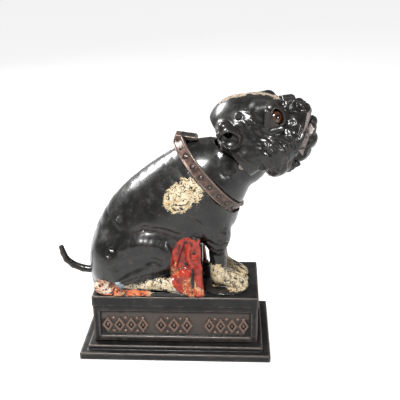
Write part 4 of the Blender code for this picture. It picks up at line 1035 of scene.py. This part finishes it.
# %% Shader helpers
def finish_called(name):
    """An empty material and its shader."""
    material = bpy.data.materials.new(name)
    material.use_nodes = True
    return material, material.node_tree, material.node_tree.nodes["Principled BSDF"]


def plug(tree, socket, value):
    """Sets a socket to a number or a colour, or links it."""
    if isinstance(value, bpy.types.NodeSocket):
        tree.links.new(value, socket)
    elif isinstance(value, tuple):
        socket.default_value = (*value, 1.0) if len(value) == 3 else value
    else:
        socket.default_value = value


def maths(tree, what, a, b=0.0):
    """A sum, product or the like of two values."""
    node = tree.nodes.new("ShaderNodeMath")
    node.operation = what
    plug(tree, node.inputs[0], a)
    plug(tree, node.inputs[1], b)
    return node.outputs[0]


def plus(tree, a, b):
    return maths(tree, "ADD", a, b)


def minus(tree, a, b):
    return maths(tree, "SUBTRACT", a, b)


def times(tree, a, b):
    return maths(tree, "MULTIPLY", a, b)


def between(tree, value, low, high, out_low=0.0, out_high=1.0):
    """A soft step from out_low to out_high while value goes from low to high."""
    node = tree.nodes.new("ShaderNodeMapRange")
    node.interpolation_type = "SMOOTHSTEP"
    for socket, number in zip(node.inputs, (value, low, high, out_low, out_high)):
        plug(tree, socket, number)
    return node.outputs[0]


def mixed(tree, amount, a, b):
    """Colour a where amount is 0 and colour b where it is 1."""
    node = tree.nodes.new("ShaderNodeMix")
    node.data_type = "RGBA"
    plug(tree, node.inputs[0], amount)
    plug(tree, node.inputs[6], a)
    plug(tree, node.inputs[7], b)
    return node.outputs[2]


def carried(tree, name):
    """A number that each corner of the skin carries."""
    node = tree.nodes.new("ShaderNodeAttribute")
    node.attribute_name = name
    return node.outputs["Fac"]


def place_of(tree):
    """The point's own place on the piece, so that patterns ride along when it moves."""
    return tree.nodes.new("ShaderNodeTexCoord").outputs["Object"]


def grain(tree, place, size_mm, detail=3.0):
    """Noise with features of about that size."""
    node = tree.nodes.new("ShaderNodeTexNoise")
    node.inputs["Scale"].default_value = 1000.0 / size_mm
    node.inputs["Detail"].default_value = detail
    plug(tree, node.inputs["Vector"], place)
    return node.outputs["Fac"]


def veins(tree, place, size_mm, thin=0.008, wide=0.030):
    """1 on whole paint and 0 in its ragged cracks."""
    node = tree.nodes.new("ShaderNodeTexNoise")
    node.inputs["Scale"].default_value = 1000.0 / size_mm
    node.inputs["Detail"].default_value = 5.0
    node.inputs["Distortion"].default_value = 1.3
    plug(tree, node.inputs["Vector"], place)
    return between(tree, maths(tree, "ABSOLUTE", minus(tree, node.outputs["Fac"], 0.5)), thin, wide)


def relief_of(tree, shader, height, strength, depth_mm):
    """Fine unevenness that is too small to model."""
    node = tree.nodes.new("ShaderNodeBump")
    node.inputs["Strength"].default_value = strength
    node.inputs["Distance"].default_value = depth_mm * 0.001
    plug(tree, node.inputs["Height"], height)
    tree.links.new(node.outputs[0], shader.inputs["Normal"])


print("shader helpers are ready")

# %% [markdown]
# The dog is painted black over iron. The paint has aged to a soft gloss with grey scuffs, it is thin on the
# high places, and the cream, white and orange patches are flaked, with black showing through their cracks.
# Painted shade darkens the hollows and creases, on the black paint and on the patches.

# %% Painted iron
CREAM, CREAM_AGED = (0.50, 0.42, 0.29), (0.36, 0.26, 0.13)
RED, RED_AGED = (0.29, 0.026, 0.012), (0.13, 0.010, 0.006)
ORANGE, ORANGE_AGED = (0.52, 0.100, 0.024), (0.44, 0.26, 0.13)
WHITE, WHITE_AGED = (0.56, 0.49, 0.40), (0.52, 0.19, 0.085)
# Blue paint with a pale grey tone; at the heel it also serves as a painted highlight.
BLUE, BLUE_PALE_GREY = (0.12, 0.15, 0.19), (0.42, 0.42, 0.40)
STRIPE, STRIPE_AGED = (0.40, 0.33, 0.25), (0.26, 0.19, 0.13)
LIP_DARK, LIP_PALE = (0.10, 0.08, 0.075), (0.17, 0.145, 0.135)
GUM, GUM_PALE = (0.24, 0.185, 0.17), (0.38, 0.35, 0.33)
# Black for the dark patch, mostly painted shade in holes, cracks and grooves, and black lines along the toes.
BLACK_AND_SHADE, BLACK_AND_SHADE_GREY = (0.006, 0.005, 0.005), (0.012, 0.010, 0.009)
DEEP_BLACK, THIN_BLACK = (0.0042, 0.0040, 0.0039), (0.0110, 0.0104, 0.0098)
# Deep black for the painted shade in hollows and creases.
CREASE_SHADE_BLACK = (0.004, 0.0038, 0.0036)
SCUFF_GREY = (0.105, 0.098, 0.090)


def painted_iron(name, patches, worn=0.3, brown=(0.040, 0.032, 0.027), rough=0.36, dust=0.3, varnish=0.45):
    """Black paint over cast iron. patches gives, for each number that a corner carries, the paint, the same
    paint aged, the size of its cracks (0 for none) and how ragged its edge is."""
    material, tree, shader = finish_called(name)
    place = place_of(tree)
    fine, middle, broad = grain(tree, place, 1.1, 4), grain(tree, place, 5.0, 4), grain(tree, place, 19.0, 3)
    wear_and_crease_shade = carried(tree, "wear_and_crease_shade")
    black = mixed(tree, between(tree, broad, 0.35, 0.7), DEEP_BLACK, THIN_BLACK)
    shown = plus(tree, wear_and_crease_shade, times(tree, minus(tree, middle, 0.5), 1.4))
    colour = mixed(tree, times(tree, between(tree, shown, 0.25, 0.95), worn), black, brown)
    scuff = times(tree, between(tree, middle, 0.52, 0.74), between(tree, fine, 0.42, 0.66))
    colour = mixed(tree, times(tree, scuff, dust), colour, SCUFF_GREY)
    # Painted shade: hollows and creases, where the skin bends inwards, are darkened to deep black and lose
    # their grey scuffs.
    crease_shade = between(tree, wear_and_crease_shade, -0.9, -0.1, 0.0, 1.0)
    colour = mixed(tree, crease_shade, CREASE_SHADE_BLACK, colour)
    gloss = between(tree, plus(tree, times(tree, middle, 0.6), times(tree, fine, 0.4)),
                    0.3, 0.7, rough - 0.11, rough + 0.13)
    metal = times(tree, between(tree, shown, 0.3, 1.0), 0.55 * worn)
    height = plus(tree, times(tree, middle, 1.0), times(tree, fine, 0.35))
    lost = times(tree, minus(tree, middle, 0.5), 9.0)
    speck = times(tree, minus(tree, fine, 0.5), 5.0)
    flakes = grain(tree, place, 2.4, 5)
    for patch, (paint, aged, crack_mm, edge) in patches.items():
        inside = plus(tree, carried(tree, patch), times(tree, plus(tree, lost, speck), edge))
        there = between(tree, inside, 0.15, 0.75)
        if crack_mm:
            there = times(tree, there, veins(tree, place, crack_mm))
            there = times(tree, there, between(tree, flakes, 0.36, 0.43))
        shade = mixed(tree, between(tree, plus(tree, middle, times(tree, fine, 0.3)), 0.55, 0.82),
                      paint, aged)
        # Painted shade: each paint patch is darkened to a quarter of its aged tone in hollows and folds, where
        # the skin bends inwards.
        shade = mixed(tree, between(tree, wear_and_crease_shade, -1.0, 0.0), tuple(c * 0.25 for c in aged), shade)
        colour = mixed(tree, there, colour, shade)
        gloss = plus(tree, gloss, times(tree, there, 0.10))
        metal = times(tree, metal, minus(tree, 1.0, there))
        height = plus(tree, height, times(tree, there, 0.55))
    plug(tree, shader.inputs["Base Color"], colour)
    plug(tree, shader.inputs["Roughness"], gloss)
    plug(tree, shader.inputs["Metallic"], metal)
    shader.inputs["Specular IOR Level"].default_value = 0.22
    shader.inputs["Coat Weight"].default_value = varnish
    shader.inputs["Coat Roughness"].default_value = 0.17
    relief_of(tree, shader, height, 0.7, 0.28)
    return material


body_iron = painted_iron("body_iron", {
    "cream": (CREAM, CREAM_AGED, 4.2, 1.0), "blue_and_heel_highlight": (BLUE, BLUE_PALE_GREY, 0, 0.5), "red": (RED, RED_AGED, 0, 0.5),
    "orange": (ORANGE, ORANGE_AGED, 6.0, 0.9), "white": (WHITE, WHITE_AGED, 2.4, 0.8),
    "dark": (BLACK_AND_SHADE, BLACK_AND_SHADE_GREY, 0, 0.2)})
head_iron = painted_iron("head_iron", {
    "stripe": (STRIPE, STRIPE_AGED, 4.0, 1.0), "gum": (LIP_DARK, LIP_PALE, 0, 0.3)},
    worn=0.25, dust=0.25, varnish=0.4)
jaw_iron = painted_iron("jaw_iron", {"gum": (GUM, GUM_PALE, 0, 0.35)}, dust=0.2, varnish=0.35)
base_iron = painted_iron("base_iron", {}, worn=0.95, brown=(0.068, 0.056, 0.049), rough=0.44, dust=0.22,
                         varnish=0.12)
tail_iron = painted_iron("tail_iron", {})
for obj in body_skins:
    obj.data.materials.append(body_iron)
for obj in head_skins:
    obj.data.materials.append(head_iron)
jaw.data.materials.append(jaw_iron)
for obj in (box_casting, plinth):
    obj.data.materials.append(base_iron)
tail.data.materials.append(tail_iron)
print("painted iron on", len(body_skins + head_skins) + 4, "castings")

# %% Rubbed relief, collar and eyes
relief_copper, tree, shader = finish_called("relief_copper")
place = place_of(tree)
middle, fine = grain(tree, place, 3.0, 4), grain(tree, place, 0.9, 3)
shown = plus(tree, carried(tree, "wear_and_crease_shade"), times(tree, minus(tree, middle, 0.5), 1.6))
colour = mixed(tree, between(tree, shown, 0.0, 0.9), (0.016, 0.012, 0.010), (0.15, 0.098, 0.077))
plug(tree, shader.inputs["Base Color"], colour)
plug(tree, shader.inputs["Metallic"], between(tree, shown, 0.0, 0.8, 0.1, 0.55))
plug(tree, shader.inputs["Roughness"], between(tree, fine, 0.3, 0.7, 0.32, 0.55))
relief_of(tree, shader, fine, 0.4, 0.2)

collar_bronze, tree, shader = finish_called("collar_bronze_worn")
place = place_of(tree)
middle, fine = grain(tree, place, 4.0, 4), grain(tree, place, 0.8, 3)
colour = mixed(tree, between(tree, middle, 0.35, 0.7), (0.050, 0.030, 0.026), (0.135, 0.078, 0.062))
stud, rim = between(tree, carried(tree, "stud"), 0.0, 0.5), between(tree, carried(tree, "rim"), 0.0, 0.4)
dark = maths(tree, "MAXIMUM", stud, rim)
colour = mixed(tree, dark, colour, (0.016, 0.013, 0.012))
bright = times(tree, between(tree, carried(tree, "wear_and_crease_shade"), 0.5, 1.3), 0.6)
colour = mixed(tree, bright, colour, (0.20, 0.15, 0.12))
plug(tree, shader.inputs["Base Color"], colour)
plug(tree, shader.inputs["Roughness"], between(tree, middle, 0.3, 0.7, 0.28, 0.46))
shader.inputs["Metallic"].default_value = 0.45
relief_of(tree, shader, fine, 0.3, 0.15)

eye_paint, tree, shader = finish_called("eye_paint")
off = carried(tree, "off_axis")
fibres = between(tree, grain(tree, place_of(tree), 0.9, 2), 0.35, 0.7)
iris = mixed(tree, fibres, (0.034, 0.011, 0.005), (0.085, 0.030, 0.012))
colour = mixed(tree, between(tree, off, 17.0, 22.0), (0.004, 0.003, 0.003), iris)
colour = mixed(tree, between(tree, off, 50.0, 60.0), colour, (0.020, 0.012, 0.010))
plug(tree, shader.inputs["Base Color"], colour)
shader.inputs["Roughness"].default_value = 0.12
shader.inputs["Coat Weight"].default_value = 0.6

for word in ("right", "left"):
    bpy.data.objects[f"panel_relief_{word}"].data.materials.append(relief_copper)
    bpy.data.objects[f"eye_ball_{word}"].data.materials.append(eye_paint)
collar.data.materials.append(collar_bronze)
print("copper relief, bronze collar, amber eyes")

# %% [markdown]
# The pins, wires and screws keep their CAD shapes, which are right as they are, and get bare steel or black
# iron.

# %% Small parts
def plain_metal(name, pale, dark, patch_mm, fine_mm, smooth, rough, metallic):
    """A metal in two tones, with an uneven polish."""
    material, tree, shader = finish_called(name)
    place = place_of(tree)
    tone = between(tree, grain(tree, place, patch_mm, 4), 0.4, 0.7)
    plug(tree, shader.inputs["Base Color"], mixed(tree, tone, pale, dark))
    polish = between(tree, grain(tree, place, fine_mm, 3), 0.3, 0.7, smooth, rough)
    plug(tree, shader.inputs["Roughness"], polish)
    shader.inputs["Metallic"].default_value = metallic
    return material


steel = plain_metal("steel_aged", (0.34, 0.33, 0.31), (0.16, 0.12, 0.09), 3.0, 1.2, 0.28, 0.5, 1.0)
fitting_iron = plain_metal("fitting_iron", (0.012, 0.0115, 0.011), (0.034, 0.029, 0.025), 4.0, 1.3, 0.30, 0.48,
                           0.0)
PAINTED_RIVETS = ("body_rivet_rear", "body_rivet_front", "head_rivet")


def finish_for(name):
    """The finish of a node that keeps its CAD shape."""
    if name in PAINTED_RIVETS:
        return tail_iron
    if name != "trap_rivet" and any(word in name for word in ("rivet", "lever", "cover")):
        return fitting_iron
    return steel


for name, node in frame["nodes"].items():
    if node.material_slots and not node.hide_render:
        node.data.materials.clear()
        node.data.materials.append(finish_for(name))
        node.data.shade_smooth()
        node.data.set_sharp_from_angle(angle=math.radians(35))
print("kept nodes:", sorted(n for n, o in frame["nodes"].items() if not o.hide_render))

# %% [markdown]
# The studio is a plain white table under three soft lights, seen from the dog's right and a little above.

# %% Floor, lights and camera
mesh = bpy.data.meshes.new("table_top")
mesh.from_pydata([(-4, -3, 0), (4, -3, 0), (4, 9, 0), (-4, 9, 0)], [], [(0, 1, 2, 3)])
table_top = bpy.data.objects.new("table_top", mesh)
bpy.context.scene.collection.objects.link(table_top)
pale, tree, shader = finish_called("pale_paper")
shader.inputs["Base Color"].default_value = (0.34, 0.34, 0.34, 1)
shader.inputs["Roughness"].default_value = 0.9
shader.inputs["Specular IOR Level"].default_value = 0.1
shader.inputs["Emission Color"].default_value = (1, 1, 1, 1)
shader.inputs["Emission Strength"].default_value = 0.80
mesh.materials.append(pale)

world = bpy.data.worlds.new("white_room")
world.use_nodes = True
world.node_tree.nodes["Background"].inputs["Color"].default_value = (1, 1, 1, 1)
world.node_tree.nodes["Background"].inputs["Strength"].default_value = 0.24
bpy.context.scene.world = world


def soft_light(name, place, towards, width, height, power):
    """A soft box at a place, turned towards another place."""
    data = bpy.data.lights.new(name, "AREA")
    data.shape, data.size, data.size_y, data.energy = "RECTANGLE", width, height, power
    lamp = bpy.data.objects.new(name, data)
    lamp.location = place
    lamp.rotation_euler = (Vector(towards) - Vector(place)).to_track_quat("-Z", "Y").to_euler()
    bpy.context.scene.collection.objects.link(lamp)


soft_light("overhead", (-0.10, -0.42, 0.78), (0, 0, 0.12), 0.17, 0.17, 12.0)
soft_light("behind_left", (-0.62, 0.55, 0.66), (0, 0, 0.12), 0.46, 0.30, 16.0)
soft_light("front_right", (0.70, -0.50, 0.42), (0.02, 0, 0.14), 0.12, 0.20, 2.6)

camera_data = bpy.data.cameras.new("camera")
camera_data.lens, camera_data.sensor_width = 65.1, 36.0
camera = bpy.data.objects.new("camera", camera_data)
AZIMUTH, ELEVATION, ROLL = math.radians(2.765), math.radians(20.706), math.radians(-0.493)
DISTANCE = 0.5558
target = base_frame @ Vector((18.47, 0.0, 116.18))
back = Vector((math.sin(AZIMUTH) * math.cos(ELEVATION), -math.cos(AZIMUTH) * math.cos(ELEVATION),
               math.sin(ELEVATION)))
right = (-back).cross(Vector((0, 0, 1))).normalized()
up = right.cross(-back)
turned_right = right * math.cos(ROLL) + up * math.sin(ROLL)
turned_up = up * math.cos(ROLL) - right * math.sin(ROLL)
turned = Matrix((turned_right, turned_up, back)).transposed().to_4x4()
camera.matrix_world = Matrix.Translation(target + back * DISTANCE) @ turned
bpy.context.scene.collection.objects.link(camera)
bpy.context.scene.camera = camera
bpy.context.scene.view_settings.view_transform = "Standard"
print("camera at", tuple(round(x, 3) for x in camera.location))

# %% [markdown]
# Last, the box of the CAD model is printed.

# %% Sizes and finish
print("CAD box", [tuple(round(x, 4) for x in c) for c in cad_box])
